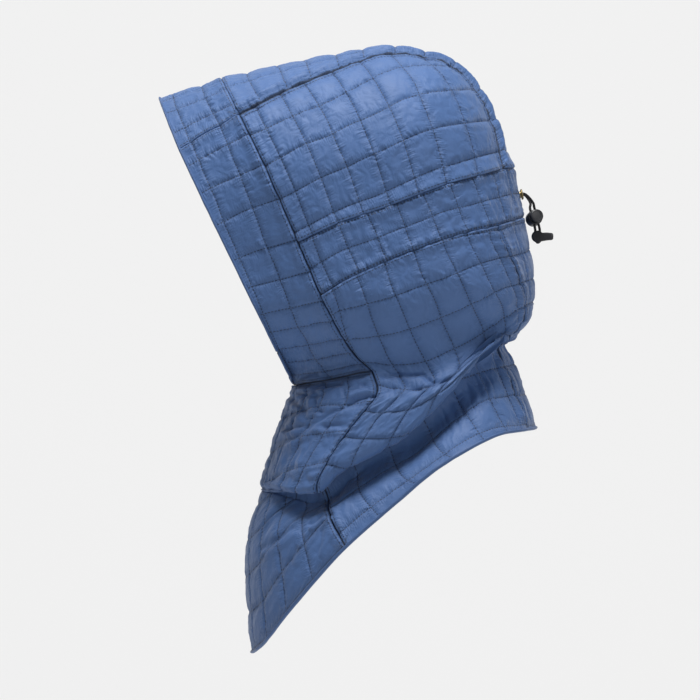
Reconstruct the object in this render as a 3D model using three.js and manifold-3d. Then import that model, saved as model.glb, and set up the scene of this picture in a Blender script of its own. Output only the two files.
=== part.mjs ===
// A quilted pull-on hood in the shape it has when worn: a visor band round the face, a three-panel crown, a drawcord
// channel round the back, and a lower part that rolls over at the neck and ends in a cape with a long front bib.
// Millimetres. +X is the wearer's left, +Y the back, +Z up. The origin is where the top of the head meets the lining.
import * as THREE from "three";
import { mergeVertices } from "three/addons/utils/BufferGeometryUtils.js";
import Module from "manifold-3d";

const wasm = await Module();
wasm.setup();

// Driving sizes
const WALL = 6.8; // padded wall at the crest of a quilted cell
const STITCH_DEPTH = 1.6; // how far a stitch line sinks into the wall
const SEAM_GAP = 0.7; // clearance between two neighbouring pieces
const HEAD_HALF_WIDTH = 104; // at the ears
const RIM_HALF_WIDTH = 88; // of the face opening
const HEAD_ROUNDING = 105; // depth over which the sides curve in to the centre line
const RIM_ROUNDING = 135;
const NECK_ROUNDING = 82;
const RIM_FADE = 85; // distance behind the rim over which the head reaches its full width
const NECK_DROP = 70; // height above the crease over which the head narrows to the neck
const NECK_NARROWING = 0.21; // share of the width lost at the throat
const EDGE_DIAMETER = 3.6; // of the rolled edges of the rim and the hem
const CORD_DIAMETER = 2.2;
const CORD_SPACING = 3.8; // between the two strands in the cord lock and in the cord end
const EYELET_SPACING = 14;
const BARREL_RADIUS = 2.7; // of an eyelet
const BORE_RADIUS = 1.7;
const FLANGE_RADIUS = 4.5;
const LOCK_DIAMETER = 13;
const STEM_RADIUS = 4.4; // of the lock's button
const CAP_RADIUS = 5.8;
const TAB_ROUND_RADIUS = 5.1; // of the cord end's wide end
const TAB_LENGTH = 13.4; // from the middle of the wide end to the tip
const TAB_TIP_HALF = 2.9;

// Outlines and seams in the side view, as [y, z]
const CENTRE_BACK = [[-255, -53], [-191, -38], [-139, -22], [-91, -11], [-42, -1], [1, 6], [34, 1.5], [58, -8],
  [81, -31], [95, -57], [104, -83], [110, -101], [118, -140], [124, -172], [127.5, -204], [123, -227], [114, -237],
  [101, -247]];
const CENTRE_FRONT = [[-77, -282], [-81, -291], [-90, -316.5], [-102, -353], [-106, -368]];
const RIM_SIDE = [[-172, -84], [-145, -141], [-110, -213], [-77, -282]];
const CROWN_SEAM = [[-122, -56], [-83, -35], [-44, -18.4], [1, -3.4], [35, -6], [54, -11.6], [74.6, -30.6],
  [89.5, -60], [99, -100]];
const FRONT_SEAM = [[-122, -56], [-100, -101], [-73, -163], [-54, -207.5], [-27.6, -255.5], [-11.4, -270]];
const CHANNEL_TOP = [[-73, -163], [-37, -146.5], [-2.6, -135], [51.6, -114.6], [81.3, -105.8], [99, -100.3],
  [109.5, -98]];
const CHANNEL_FOOT = [[-54, -207.5], [-30, -193], [24.5, -169.5], [65, -155.5], [94, -148.5], [118, -140]];
const NAPE_SEAM = [[94, -148.5], [98, -162], [106, -177], [112, -192], [117.5, -207], [118.6, -221]];
const VISOR_SEAM_TOP = [[-172, -84], [-148, -70], [-122, -56]]; // between the visor's crown and its sides
const CORNER_ON_CROWN_SEAM = 5; // index of the crown seam's point where the side panel turns down to the back

// The rings of the neck and the cape from top to bottom. Each runs in the side view from the front centre to the back
// centre: line [y, z], half width, rounding at front and back, y of the front seam and of the back seam, and the
// number of quads down to the next ring.
const RINGS = [
  { name: "crease", quads: 2, halfWidth: 0, front: 82, back: 105, frontSeam: -11.4, backSeam: 118.6,
    line: [[-77, -282], [-45, -277], [-11.4, -270], [11, -273], [35, -272], [60, -263], [85, -247], [105, -231],
      [125.5, -217]] },
  { name: "roll top", quads: 2, halfWidth: 93, front: 84, back: 100, frontSeam: -8, backSeam: 117,
    line: [[-82, -295], [-45, -293], [-8, -290], [11, -287], [35, -281], [60, -269], [85, -251], [105, -236],
      [125, -223]] },
  { name: "roll crest", quads: 2, halfWidth: 99, front: 86, back: 96, frontSeam: -31.5, backSeam: 112,
    line: [[-92, -320], [-60, -321], [-31.5, -320.5], [-9, -311], [23, -297], [47, -279], [76, -257], [100, -239.5],
      [121, -230]] },
  { name: "fold edge", quads: 1, halfWidth: 95, front: 88, back: 86, frontSeam: -56, backSeam: 103.5,
    line: [[-106, -368], [-80, -368], [-56, -365.5], [-44, -353], [-26, -343.5], [-1.7, -331.5], [21, -318.5],
      [38, -302], [52, -286], [70, -266], [90, -248.5], [112, -240]] },
  { name: "undercut", quads: 1, halfWidth: 77, front: 86, back: 74, frontSeam: -54.5, backSeam: 95.5,
    line: [[-104, -371.5], [-80, -371.5], [-54.5, -367.5], [-42, -353.5], [-26, -342], [-1.7, -329.5], [21, -317.5],
      [38, -303], [52, -289], [70, -270], [90, -253], [101, -247.5]] },
  { name: "cape top", quads: 2, halfWidth: 81, front: 88, back: 80, frontSeam: -53, backSeam: 101,
    line: [[-107, -377], [-80, -376], [-53, -373.5], [-34, -357], [-1.7, -340], [21, -330], [38, -316], [52, -304],
      [70, -289], [90, -273], [108, -260]] },
  { name: "cape middle", quads: 4, halfWidth: 97, front: 92, back: 90, frontSeam: -47, backSeam: 109,
    line: [[-118.5, -425], [-85, -411], [-47, -390], [-10, -367], [21, -349], [52, -324], [81, -301],
      [117.5, -284]] },
  { name: "hem", quads: 0, halfWidth: 112, front: 96, back: 96, frontSeam: -34, backSeam: 120.5,
    line: [[-114, -508.5], [-103, -497.5], [-87, -476], [-59, -442], [-34, -414.5], [6, -379], [39, -351],
      [64, -335.5], [81, -327], [97, -321], [113, -319], [129, -317.6]] },
];

const CAPE_TOP = 5; // index of the ring where the cape comes out from under the fold

const THROAT = new THREE.Vector3(0, -77, -282); // lower end of the face opening
const THROAT_NORMAL = new THREE.Vector3(0, -0.93, 0.36);
const THROAT_REACH = 40; // distance over which the wall turns to the throat's own slope

// Hardware at the back
const EYELET_CENTRE = new THREE.Vector3(0, 114.1, -120.7); // midway between the two
const EYELET_AXIS = new THREE.Vector3(0, 0.98, 0.198).normalize();
const LOCK_CENTRE = new THREE.Vector3(0, 127.2, -140);
const LOCK_AXIS = new THREE.Vector3(0.96, 0.2, 0.2).normalize(); // the way the button faces
const CORD_END_CENTRE = new THREE.Vector3(0, 129.6, -156);

const smooth = (t) => {
  const s = Math.min(1, Math.max(0, t));
  return s * s * (3 - 2 * s);
};

// Returns a function from a share 0..1 to the place [y, z] on the smooth line through the points
function lineThrough(points) {
  const curve = new THREE.CatmullRomCurve3(points.map(([y, z]) => new THREE.Vector3(0, y, z)), false, "centripetal");
  return (share) => {
    const p = curve.getPointAt(Math.min(1, Math.max(0, share)));
    return [p.y, p.z];
  };
}

// Signed distance from [y, z] to a line: positive on the side given, and always positive past the line's ends
function distanceTo(points, side) {
  const at = lineThrough(points);
  const fine = Array.from({ length: 241 }, (_, i) => at(i / 240));
  return (y, z) => {
    let best = Infinity;
    let signed = 0;
    for (let i = 0; i < fine.length - 1; i += 1) {
      const [ay, az] = fine[i];
      const dy = fine[i + 1][0] - ay;
      const dz = fine[i + 1][1] - az;
      const t = ((y - ay) * dy + (z - az) * dz) / (dy * dy + dz * dz);
      const s = Math.min(1, Math.max(0, t));
      const gap = Math.hypot(y - ay - s * dy, z - az - s * dz);
      if (gap < best) {
        best = gap;
        const past = (i === 0 && t < 0) || (i === fine.length - 2 && t > 1);
        signed = past || side * (dy * (z - az) - dz * (y - ay)) > 0 ? gap : -gap;
      }
    }
    return signed;
  };
}

const toBack = distanceTo(CENTRE_BACK, -1);
const toFront = distanceTo(CENTRE_FRONT, 1);

// z of a ring's line at y, by a cubic through its points
function heightAt(points, y) {
  let i = 0;
  while (i < points.length - 2 && y > points[i + 1][0]) i += 1;
  const slope = (k) => {
    const a = points[Math.max(0, k - 1)];
    const b = points[Math.min(points.length - 1, k + 1)];
    return (b[1] - a[1]) / (b[0] - a[0]);
  };
  const [y0, z0] = points[i];
  const [y1, z1] = points[i + 1];
  const t = Math.min(1, Math.max(0, (y - y0) / (y1 - y0)));
  const t2 = t * t;
  const t3 = t2 * t;
  return (2 * t3 - 3 * t2 + 1) * z0 + (t3 - 2 * t2 + t) * slope(i) * (y1 - y0)
    + (3 * t2 - 2 * t3) * z1 + (t3 - t2) * slope(i + 1) * (y1 - y0);
}

// Rises from 0 at the centre line to 1 at a full rounding's distance; its root is a quarter circle
const rounded = (distance, radius) => {
  const t = Math.min(1, distance / radius);
  return 2 * t - t * t;
};

// 0 on the rim's line, 1 a rim fade behind it
const behindRim = (y, z) => smooth(((y - RIM_SIDE[0][0]) * 0.902 + (z - RIM_SIDE[0][1]) * 0.431) / RIM_FADE);

const backRounding = (y, z) => RIM_ROUNDING + (HEAD_ROUNDING - RIM_ROUNDING) * behindRim(y, z);

// Square of the half width of the head part at [y, z]
function headWidthSquared(y, z) {
  const crease = RINGS[0].line;
  const aboveCrease = z - heightAt(crease, Math.max(crease[0][0], Math.min(crease.at(-1)[0], y)));
  const atNape = smooth((y - 5) / 85);
  const narrowing = 1 - (NECK_NARROWING - 0.19 * atNape) * (1 - smooth(aboveCrease / NECK_DROP));
  const half = (RIM_HALF_WIDTH + (HEAD_HALF_WIDTH - RIM_HALF_WIDTH) * behindRim(y, z)) * narrowing;
  return half * half * rounded(toBack(y, z), backRounding(y, z)) * rounded(toFront(y, z), NECK_ROUNDING);
}

const headWidth = (y, z) => Math.sqrt(Math.max(0, headWidthSquared(y, z)));

// Outward normal of the head part at a point on its surface
function headNormal(p) {
  const step = 0.6;
  const dy = (headWidthSquared(p.y + step, p.z) - headWidthSquared(p.y - step, p.z)) / (2 * step);
  const dz = (headWidthSquared(p.y, p.z + step) - headWidthSquared(p.y, p.z - step)) / (2 * step);
  const slope = new THREE.Vector3(2 * p.x, -dy, -dz).normalize();
  const nearThroat = 1 - smooth(p.distanceTo(THROAT) / THROAT_REACH);
  return slope.lerp(THROAT_NORMAL, nearThroat).normalize();
}

// Place on ring k at the angle share q, 0 at the front centre and 1 at the back centre
function ringPoint(k, q) {
  const ring = RINGS[k];
  const front = ring.line[0][0];
  const depth = ring.line.at(-1)[0] - front;
  const y = front + (depth * (1 - Math.cos(Math.PI * q))) / 2;
  const z = heightAt(ring.line, y);
  const width = k === 0
    ? headWidth(y, z)
    : ring.halfWidth * Math.sqrt(rounded(y - front, ring.front) * rounded(front + depth - y, ring.back));
  return new THREE.Vector3(q <= 0 || q >= 1 ? 0 : width, y, z);
}

const shareAtY = (k, y) => {
  const front = RINGS[k].line[0][0];
  const depth = RINGS[k].line.at(-1)[0] - front;
  return Math.acos(1 - (2 * (y - front)) / depth) / Math.PI;
};

// Cubic through four values in a row
const blend = (a, b, c, d, t) => b + 0.5 * t * (c - a + t * (2 * a - 5 * b + 4 * c - d + t * (3 * (b - c) + d - a)));

// A value given per ring, at the height share v counted in rings
function betweenRings(valueAt, v) {
  const last = RINGS.length - 1;
  const k = Math.min(last - 1, Math.floor(v));
  const at = (i) => valueAt(Math.min(last, Math.max(0, i)));
  return blend(at(k - 1), at(k), at(k + 1), at(k + 2), v - k);
}

function lowerPoint(q, v) {
  const side = q < 0 ? -1 : q > 1 ? -1 : 1;
  const share = q < 0 ? -q : q > 1 ? 2 - q : q;
  const of = (axis) => betweenRings((k) => ringPoint(k, share)[axis], v);
  return new THREE.Vector3(side * of("x"), of("y"), of("z"));
}

function lowerNormal(q, v) {
  const last = RINGS.length - 1;
  const along = lowerPoint(q + 0.004, v).sub(lowerPoint(q - 0.004, v));
  const down = lowerPoint(q, Math.min(last, v + 0.02)).sub(lowerPoint(q, Math.max(0, v - 0.02)));
  return down.cross(along).normalize();
}

// A place on the head part with its normal, from its side view
function onHead([y, z]) {
  const place = new THREE.Vector3(headWidth(y, z), y, z);
  return { place, normal: headNormal(place) };
}

function onLower(q, v) {
  const place = lowerPoint(q, v);
  return { place, normal: v < 0.001 ? headNormal(place) : lowerNormal(q, v) };
}

// A place on the arch that crosses the head from an edge on the left, over the centre, to the right: t from -1 to 1
function onArch(centre, edge, t) {
  const width = headWidth(...edge);
  const angle = Math.asin(Math.sqrt(rounded(toBack(...edge), backRounding(...edge))));
  const share = (1 - Math.cos(angle * t)) / (1 - Math.cos(angle));
  const place = new THREE.Vector3(
    (width * Math.sin(angle * t)) / Math.sin(angle),
    centre[0] + (edge[0] - centre[0]) * share,
    centre[1] + (edge[1] - centre[1]) * share,
  );
  return { place, normal: headNormal(place) };
}

// Side view of a four-sided panel from its top, foot, front and back lines
function panel(top, foot, front, back) {
  return (u, v) => [0, 1].map((axis) => {
    const ends = (1 - v) * top(u)[axis] + v * foot(u)[axis] + (1 - u) * front(v)[axis] + u * back(v)[axis];
    const corners = (1 - u) * (1 - v) * top(0)[axis] + u * (1 - v) * top(1)[axis]
      + (1 - u) * v * foot(0)[axis] + u * v * foot(1)[axis];
    return ends - corners;
  });
}

const toSolid = (geometry) => {
  const plain = geometry.clone();
  plain.deleteAttribute("normal");
  plain.deleteAttribute("uv");
  const joined = mergeVertices(plain, 1e-4);
  return new wasm.Manifold(new wasm.Mesh({
    numProp: 3,
    vertProperties: new Float32Array(joined.attributes.position.array),
    triVerts: new Uint32Array(joined.index.array),
  }));
};

const toGeometry = (solid) => {
  const mesh = solid.getMesh();
  const geometry = new THREE.BufferGeometry();
  geometry.setAttribute("position", new THREE.BufferAttribute(mesh.vertProperties, 3));
  geometry.setIndex(new THREE.BufferAttribute(mesh.triVerts, 1));
  return geometry;
};

const group = new THREE.Group();
group.name = "quilted_hood";

function addMesh(name, geometry, colour, roughness, metalness = 0) {
  let clean = geometry;
  clean.deleteAttribute("normal");
  clean.deleteAttribute("uv");
  clean = mergeVertices(clean, 1e-4);
  const mesh = new THREE.Mesh(clean, new THREE.MeshStandardMaterial({ color: colour, roughness, metalness }));
  mesh.name = name;
  group.add(mesh);
  return mesh;
}

const SHELL_COLOUR = 0x5a7186;
const EDGE_COLOUR = 0x4c6175;
const HARDWARE_COLOUR = 0x1a1b1d;
const BRASS_COLOUR = 0xa58a55;
const CORD_COLOUR = 0x151617;

function signedVolume(points, triangles) {
  let six = 0;
  for (let i = 0; i < triangles.length; i += 3) {
    const [a, b, c] = [points[triangles[i]], points[triangles[i + 1]], points[triangles[i + 2]]];
    six += a.dot(b.clone().cross(c));
  }
  return six / 6;
}

const quilted = (i, j) => (i % 2 && j % 2 ? STITCH_DEPTH / 2 : -STITCH_DEPTH / 2);

// A padded wall over a grid of columns by rows quads; at(i, j) gives place and normal, relief the outer height.
// The plain lining side has half as many columns.
function addWall(name, columns, rows, at, relief = quilted, mirrored = false) {
  const outer = [];
  const inner = [];
  for (let j = 0; j <= rows; j += 1) {
    for (let i = 0; i <= columns; i += 1) {
      const { place, normal } = at(i, j);
      if (mirrored) {
        place.x = -place.x;
        normal.x = -normal.x;
      }
      outer.push(place.clone().addScaledVector(normal, relief(i, j)));
      inner.push(place.clone().addScaledVector(normal, STITCH_DEPTH / 2 - WALL));
    }
  }
  const wide = columns + 1;
  const inset = (layer) => layer.map((p, n) => {
    const i = n % wide;
    const j = Math.floor(n / wide);
    const moved = p.clone();
    const towards = (m) => {
      const step = layer[m].clone().sub(p);
      moved.addScaledVector(step, Math.min(0.4, SEAM_GAP / 2 / Math.max(0.01, step.length())));
    };
    if (i === 0) towards(n + 1);
    if (i === columns) towards(n - 1);
    if (j === 0) towards(n + wide);
    if (j === rows) towards(n - wide);
    return moved;
  });
  const points = [...inset(outer), ...inset(inner)];
  const count = outer.length;
  const triangles = [];
  const quad = (a, b, c, d) => triangles.push(a, b, c, a, c, d);
  for (let j = 0; j < rows; j += 1) {
    for (let i = 0; i < columns; i += 1) {
      const n = j * wide + i;
      if ((i + j) % 2) {
        quad(n + 1, n + 1 + wide, n + wide, n);
      } else {
        quad(n, n + 1, n + 1 + wide, n + wide);
      }
      if (i % 2 === 0) quad(count + n, count + n + wide, count + n + 2 + wide, count + n + 2);
    }
  }
  for (let i = 0; i < columns; i += 2) {
    const foot = rows * wide + i;
    triangles.push(i, count + i, i + 1, count + i, count + i + 2, i + 1, count + i + 2, i + 2, i + 1);
    triangles.push(foot, foot + 1, count + foot, foot + 1, count + foot + 2, count + foot);
    triangles.push(foot + 1, foot + 2, count + foot + 2);
  }
  for (let j = 0; j < rows; j += 1) {
    const start = j * wide;
    const end = start + columns;
    quad(start + wide, count + start + wide, count + start, start);
    quad(end + wide, end, count + end, count + end + wide);
  }
  if (signedVolume(points, triangles) < 0) triangles.reverse();
  const geometry = new THREE.BufferGeometry().setFromPoints(points);
  geometry.setIndex(triangles);
  return addMesh(name, geometry, SHELL_COLOUR, 0.8);
}

function addBoth(name, columns, rows, at, relief) {
  addWall(`${name}_left`, columns, rows, at, relief);
  addWall(`${name}_right`, columns, rows, at, relief, true);
}

// Lines that neighbouring pieces share, divided alike on both sides
const shareNear = (at, [y, z]) => {
  let best = 0;
  let gap = Infinity;
  for (let i = 0; i <= 1000; i += 1) {
    const [py, pz] = at(i / 1000);
    const here = Math.hypot(py - y, pz - z);
    if (here < gap) {
      gap = here;
      best = i / 1000;
    }
  }
  return best;
};
const stretch = (at, from, to) => (share) => at(from + (to - from) * share);
const straight = (a, b) => (share) => [a[0] + (b[0] - a[0]) * share, a[1] + (b[1] - a[1]) * share];
const sideView = ({ y, z }) => [y, z];

const CHANNEL_ROWS = 4;
const HEAD_ROWS = 8; // of the upper side, and of the lower side above the crease
const SIDE_COLUMNS = 14;
const HALF_CROWN = 5; // columns from the centre line to the crown seam, and to the nape seam
const BAND_COLUMNS = 6; // across the visor band

const creaseFront = shareAtY(0, RINGS[0].frontSeam);
const creaseBack = shareAtY(0, RINGS[0].backSeam);
const visorFoot = (share) => sideView(ringPoint(0, share * creaseFront));
const lowerFoot = (share) => sideView(ringPoint(0, creaseFront + share * (creaseBack - creaseFront)));

const frontSeam = lineThrough(FRONT_SEAM);
const atChannelTop = shareNear(frontSeam, CHANNEL_TOP[0]);
const atChannelFoot = shareNear(frontSeam, CHANNEL_FOOT[0]);
const seamBesideUpper = stretch(frontSeam, 0, atChannelTop);
const seamBesideChannel = stretch(frontSeam, atChannelTop, atChannelFoot);
const seamBesideLower = stretch(frontSeam, atChannelFoot, 1);
const visorRows = 2 * HEAD_ROWS + CHANNEL_ROWS;
const visorSeam = (share) => {
  const row = share * visorRows;
  if (row <= HEAD_ROWS) return seamBesideUpper(row / HEAD_ROWS);
  if (row <= HEAD_ROWS + CHANNEL_ROWS) return seamBesideChannel((row - HEAD_ROWS) / CHANNEL_ROWS);
  return seamBesideLower((row - HEAD_ROWS - CHANNEL_ROWS) / HEAD_ROWS);
};

const crownSeamLine = lineThrough(CROWN_SEAM);
const atCorner = shareNear(crownSeamLine, CROWN_SEAM[CORNER_ON_CROWN_SEAM]);
const crownRows = SIDE_COLUMNS + HEAD_ROWS;
const crownSeam = (share) => {
  const row = share * crownRows;
  return crownSeamLine(row <= SIDE_COLUMNS
    ? (atCorner * row) / SIDE_COLUMNS
    : atCorner + ((1 - atCorner) * (row - SIDE_COLUMNS)) / HEAD_ROWS);
};
const napeSeam = lineThrough(NAPE_SEAM);
const crownEnd = CROWN_SEAM.at(-1);
const napeStart = NAPE_SEAM[0];

// Visor band
const visorTop = lineThrough(CENTRE_BACK.slice(1, 3));
const visorSeamTop = lineThrough(VISOR_SEAM_TOP);
const rimSide = lineThrough(RIM_SIDE);
const onVisorTop = (t, share) => onArch(visorTop(share), visorSeamTop(share), t);
addWall("visor_crown", 2 * HALF_CROWN, BAND_COLUMNS, (i, j) => onVisorTop(i / HALF_CROWN - 1, j / BAND_COLUMNS));
const visorSide = panel(visorSeamTop, visorFoot, rimSide, visorSeam);
addBoth("visor_side", BAND_COLUMNS, visorRows, (i, j) => onHead(visorSide(i / BAND_COLUMNS, j / visorRows)));

// Crown panel and upper sides
const crownTop = lineThrough([...CENTRE_BACK.slice(2, 11), CHANNEL_TOP.at(-1)]);
const onCrown = (t, share) => onArch(crownTop(share), crownSeam(share), t);
addWall("crown_panel", 2 * HALF_CROWN, crownRows, (i, j) => onCrown(i / HALF_CROWN - 1, j / crownRows));
const channelTop = lineThrough([...CHANNEL_TOP.slice(0, 5), crownEnd]);
const upperSide = panel(
  stretch(crownSeamLine, 0, atCorner),
  channelTop,
  seamBesideUpper,
  stretch(crownSeamLine, atCorner, 1),
);
addBoth("upper_side", SIDE_COLUMNS, HEAD_ROWS, (i, j) => onHead(upperSide(i / SIDE_COLUMNS, j / HEAD_ROWS)));

// Cord channel: one piece round the back with two quads to each column of its neighbours. On its two edges every
// other place lies midway between its neighbours, as the edges of the pieces beside it do.
const channelFoot = lineThrough([...CHANNEL_FOOT.slice(0, 4), napeStart]);
const channelSide = panel(channelTop, channelFoot, seamBesideChannel, straight(crownEnd, napeStart));
const channelBack = straight(CHANNEL_TOP.at(-1), CHANNEL_FOOT.at(-1));
const channelEdge = straight(crownEnd, napeStart);
const CHANNEL_HALF = 2 * (SIDE_COLUMNS + HALF_CROWN);
function onChannelHalf(station, j) {
  const v = j / CHANNEL_ROWS;
  if (station <= 2 * SIDE_COLUMNS) return onHead(channelSide(station / (2 * SIDE_COLUMNS), v));
  return onArch(channelBack(v), channelEdge(v), (CHANNEL_HALF - station) / (2 * HALF_CROWN));
}
function midway(a, b) {
  return { place: a.place.lerp(b.place, 0.5), normal: a.normal.add(b.normal).normalize() };
}
function onChannel(i, j) {
  const station = i <= CHANNEL_HALF ? i : 2 * CHANNEL_HALF - i;
  const atEdge = j === 0 || j === CHANNEL_ROWS;
  const at = atEdge && station % 2
    ? midway(onChannelHalf(station - 1, j), onChannelHalf(station + 1, j))
    : onChannelHalf(station, j);
  if (i > CHANNEL_HALF) {
    at.place.x *= -1;
    at.normal.x *= -1;
  }
  return at;
}
const channelRelief = (i, j) => {
  if (j === 0 || j === CHANNEL_ROWS) return -STITCH_DEPTH / 2;
  return (j % 2 ? 0.9 : -0.6) + (i % 2 ? 0.6 : -0.6);
};
const channel = addWall("cord_channel", 2 * CHANNEL_HALF, CHANNEL_ROWS, onChannel, channelRelief);

// Heights of the rows below the crease, counted in rings
const lowerRows = RINGS.flatMap((ring, k) => Array.from({ length: ring.quads }, (_, m) => k + m / ring.quads));
lowerRows.push(RINGS.length - 1);
const frontSeamShare = (v) => betweenRings((k) => shareAtY(k, RINGS[k].frontSeam), v);
const backSeamShare = (v) => betweenRings((k) => shareAtY(k, RINGS[k].backSeam), v);

// Gathers: ridges that run down the wall, strongest on the roll and under the fold
const gathered = (i, columns, v, height) => {
  const strength = v < 1 ? 0.6 * v : v < CAPE_TOP ? 1 : 0.45;
  const ridge = i === 0 || i === columns ? 0 : i % 2 ? 1 : -1;
  return ridge * height * strength - STITCH_DEPTH / 2;
};

const lowerSide = panel(channelFoot, lowerFoot, seamBesideLower, napeSeam);
addBoth("lower_side", SIDE_COLUMNS, HEAD_ROWS + lowerRows.length - 1, (i, j) => {
  const u = i / SIDE_COLUMNS;
  if (j < HEAD_ROWS) return onHead(lowerSide(u, j / HEAD_ROWS));
  const v = lowerRows[j - HEAD_ROWS];
  return onLower(frontSeamShare(v) + u * (backSeamShare(v) - frontSeamShare(v)), v);
}, (i, j) => {
  const v = j < HEAD_ROWS ? 0 : lowerRows[j - HEAD_ROWS];
  return v > 0 && v < CAPE_TOP ? gathered(i, SIDE_COLUMNS, v, 0.8) : quilted(i, j);
});

const napeTop = lineThrough([CHANNEL_FOOT.at(-1), [124, -172], [127.5, -204], RINGS[0].line.at(-1)]);
addWall("nape_back", 2 * HALF_CROWN, HEAD_ROWS + lowerRows.length - 1, (i, j) => {
  if (j < HEAD_ROWS) return onArch(napeTop(j / HEAD_ROWS), napeSeam(j / HEAD_ROWS), 1 - i / HALF_CROWN);
  const v = lowerRows[j - HEAD_ROWS];
  return onLower(1 + (i / HALF_CROWN - 1) * (1 - backSeamShare(v)), v);
}, (i, j) => {
  const v = j < HEAD_ROWS ? 0 : lowerRows[j - HEAD_ROWS];
  return v > 0 && v < CAPE_TOP ? gathered(i, 2 * HALF_CROWN, v, 0.6) : quilted(i, j);
});

// Bib: two columns to each column of the visor band above it
const HALF_BIB = 2 * BAND_COLUMNS;
const onBib = (i, v) => onLower((i / HALF_BIB - 1) * frontSeamShare(v), v);
addWall("bib", 2 * HALF_BIB, lowerRows.length - 1, (i, j) => {
  const v = lowerRows[j];
  const at = j === 0 && i % 2 ? midway(onBib(i - 1, v), onBib(i + 1, v)) : onBib(i, v);
  if (j === 0) at.place.z -= 0.8;
  return at;
}, (i, j) => gathered(i, 2 * HALF_BIB, lowerRows[j], 1.2));

// Rolled edges
function addTube(name, points, radius, sides, steps, colour, roughness) {
  const corners = Array.from({ length: sides }, (_, k) => {
    const angle = (2 * Math.PI * k) / sides;
    return new THREE.Vector2(radius * Math.cos(angle), radius * Math.sin(angle));
  });
  const path = new THREE.CatmullRomCurve3(points, false, "centripetal");
  const geometry = new THREE.ExtrudeGeometry(new THREE.Shape(corners), {
    steps, bevelEnabled: false, extrudePath: path,
  });
  addMesh(name, geometry, colour, roughness);
}

// Points beside a wall's edge: edge gives the places with their normals in order, the wall on the right-hand side.
// At the throat, where the rim turns sharply, the edge keeps further away.
const TURN_CLEARANCE = 3.2;
const TURN_REACH = 60;
function besideEdge(edge) {
  return edge.map(({ place, normal }, i) => {
    const before = edge[Math.max(0, i - 1)].place;
    const after = edge[Math.min(edge.length - 1, i + 1)].place;
    const along = after.clone().sub(before).normalize();
    const away = normal.clone().cross(along).normalize();
    const atTurn = 1 - smooth(place.distanceTo(THROAT) / TURN_REACH);
    return place.clone().addScaledVector(normal, -WALL / 2 + STITCH_DEPTH / 2 + 0.8)
      .addScaledVector(away, EDGE_DIAMETER / 2 + SEAM_GAP + TURN_CLEARANCE * atTurn);
  });
}
const mirror = ({ place, normal }) => ({
  place: new THREE.Vector3(-place.x, place.y, place.z),
  normal: new THREE.Vector3(-normal.x, normal.y, normal.z),
});
const withMidways = (edge) => edge.flatMap((at, i) => {
  if (i === edge.length - 1) return [at];
  const next = edge[i + 1];
  return [at, {
    place: at.place.clone().lerp(next.place, 0.5),
    normal: at.normal.clone().add(next.normal).normalize(),
  }];
});
const rimLeft = Array.from({ length: visorRows }, (_, i) => onHead(rimSide(1 - i / visorRows)));
rimLeft[0].place.lerp(rimLeft[1].place, 0.04);
const rimTop = Array.from({ length: 2 * HALF_CROWN + 1 }, (_, i) => onVisorTop(1 - i / HALF_CROWN, 0));
const rim = withMidways([...rimLeft, ...rimTop, ...rimLeft.map(mirror).reverse()]);
addTube("rim_edge", besideEdge(rim), EDGE_DIAMETER / 2, 6, 52, EDGE_COLOUR, 0.7);

const hem = Array.from({ length: 65 }, (_, i) => onLower(0.003 + (1.994 * i) / 64, RINGS.length - 1));
addTube("hem_edge", besideEdge(hem.reverse()), EDGE_DIAMETER / 2, 6, 50, EDGE_COLOUR, 0.7);

// Eyelets: each has a barrel through the channel's wall and a flange on its outside
const upright = new THREE.Quaternion().setFromUnitVectors(new THREE.Vector3(0, 1, 0), EYELET_AXIS);
let channelSolid = toSolid(channel.geometry);
const eyeletAt = (side) => EYELET_CENTRE.clone().setX((EYELET_SPACING / 2) * side);
for (const [name, side] of [["eyelet_left", 1], ["eyelet_right", -1]]) {
  const hole = new THREE.CylinderGeometry(BARREL_RADIUS + 0.3, BARREL_RADIUS + 0.3, 26, 14);
  hole.applyQuaternion(upright).translate(...eyeletAt(side).toArray());
  channelSolid = channelSolid.subtract(toSolid(hole));
  const profile = [[BORE_RADIUS, -7.2], [BARREL_RADIUS, -7.2], [BARREL_RADIUS, 1.9], [FLANGE_RADIUS, 1.9],
    [FLANGE_RADIUS, 2.5], [3.8, 3.0], [2.3, 3.0], [BORE_RADIUS, 2.5],
    [BORE_RADIUS, -7.2]].map(([r, h]) => new THREE.Vector2(r, h));
  const eyelet = new THREE.LatheGeometry(profile, 14);
  eyelet.applyQuaternion(upright).translate(...eyeletAt(side).toArray());
  addMesh(name, eyelet, BRASS_COLOUR, 0.35, 1);
}
channel.geometry = mergeVertices(toGeometry(channelSolid), 1e-4);

// Cord lock: a barrel that points at the wearer's left, with the cord's two strands side by side across it
const strandWay = new THREE.Vector3(0, 0.2, -0.98);
strandWay.addScaledVector(LOCK_AXIS, -strandWay.dot(LOCK_AXIS)).normalize();
const apart = LOCK_AXIS.clone().cross(strandWay).normalize();
const lockFrame = new THREE.Matrix4().makeBasis(apart, strandWay.clone().negate(), LOCK_AXIS.clone());
lockFrame.setPosition(LOCK_CENTRE);
const ringSolid = (points, sides) => {
  const lathe = new THREE.LatheGeometry(points.map(([r, h]) => new THREE.Vector2(r, h)), sides);
  return toSolid(lathe.rotateX(Math.PI / 2));
};
const slotSolid = (from, to) => toSolid(
  new THREE.BoxGeometry(CORD_SPACING + CORD_DIAMETER + 0.9, 30, to - from).translate(0, 0, (from + to) / 2),
);
const lockRadius = LOCK_DIAMETER / 2;
const barrel = ringSolid([[0, -7.8], [lockRadius - 1, -7.8], [lockRadius, -6.8], [lockRadius, 2.9],
  [lockRadius - 0.6, 3.5], [4.8, 3.5], [4.8, -6.2], [0, -6.2]], 24);
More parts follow.
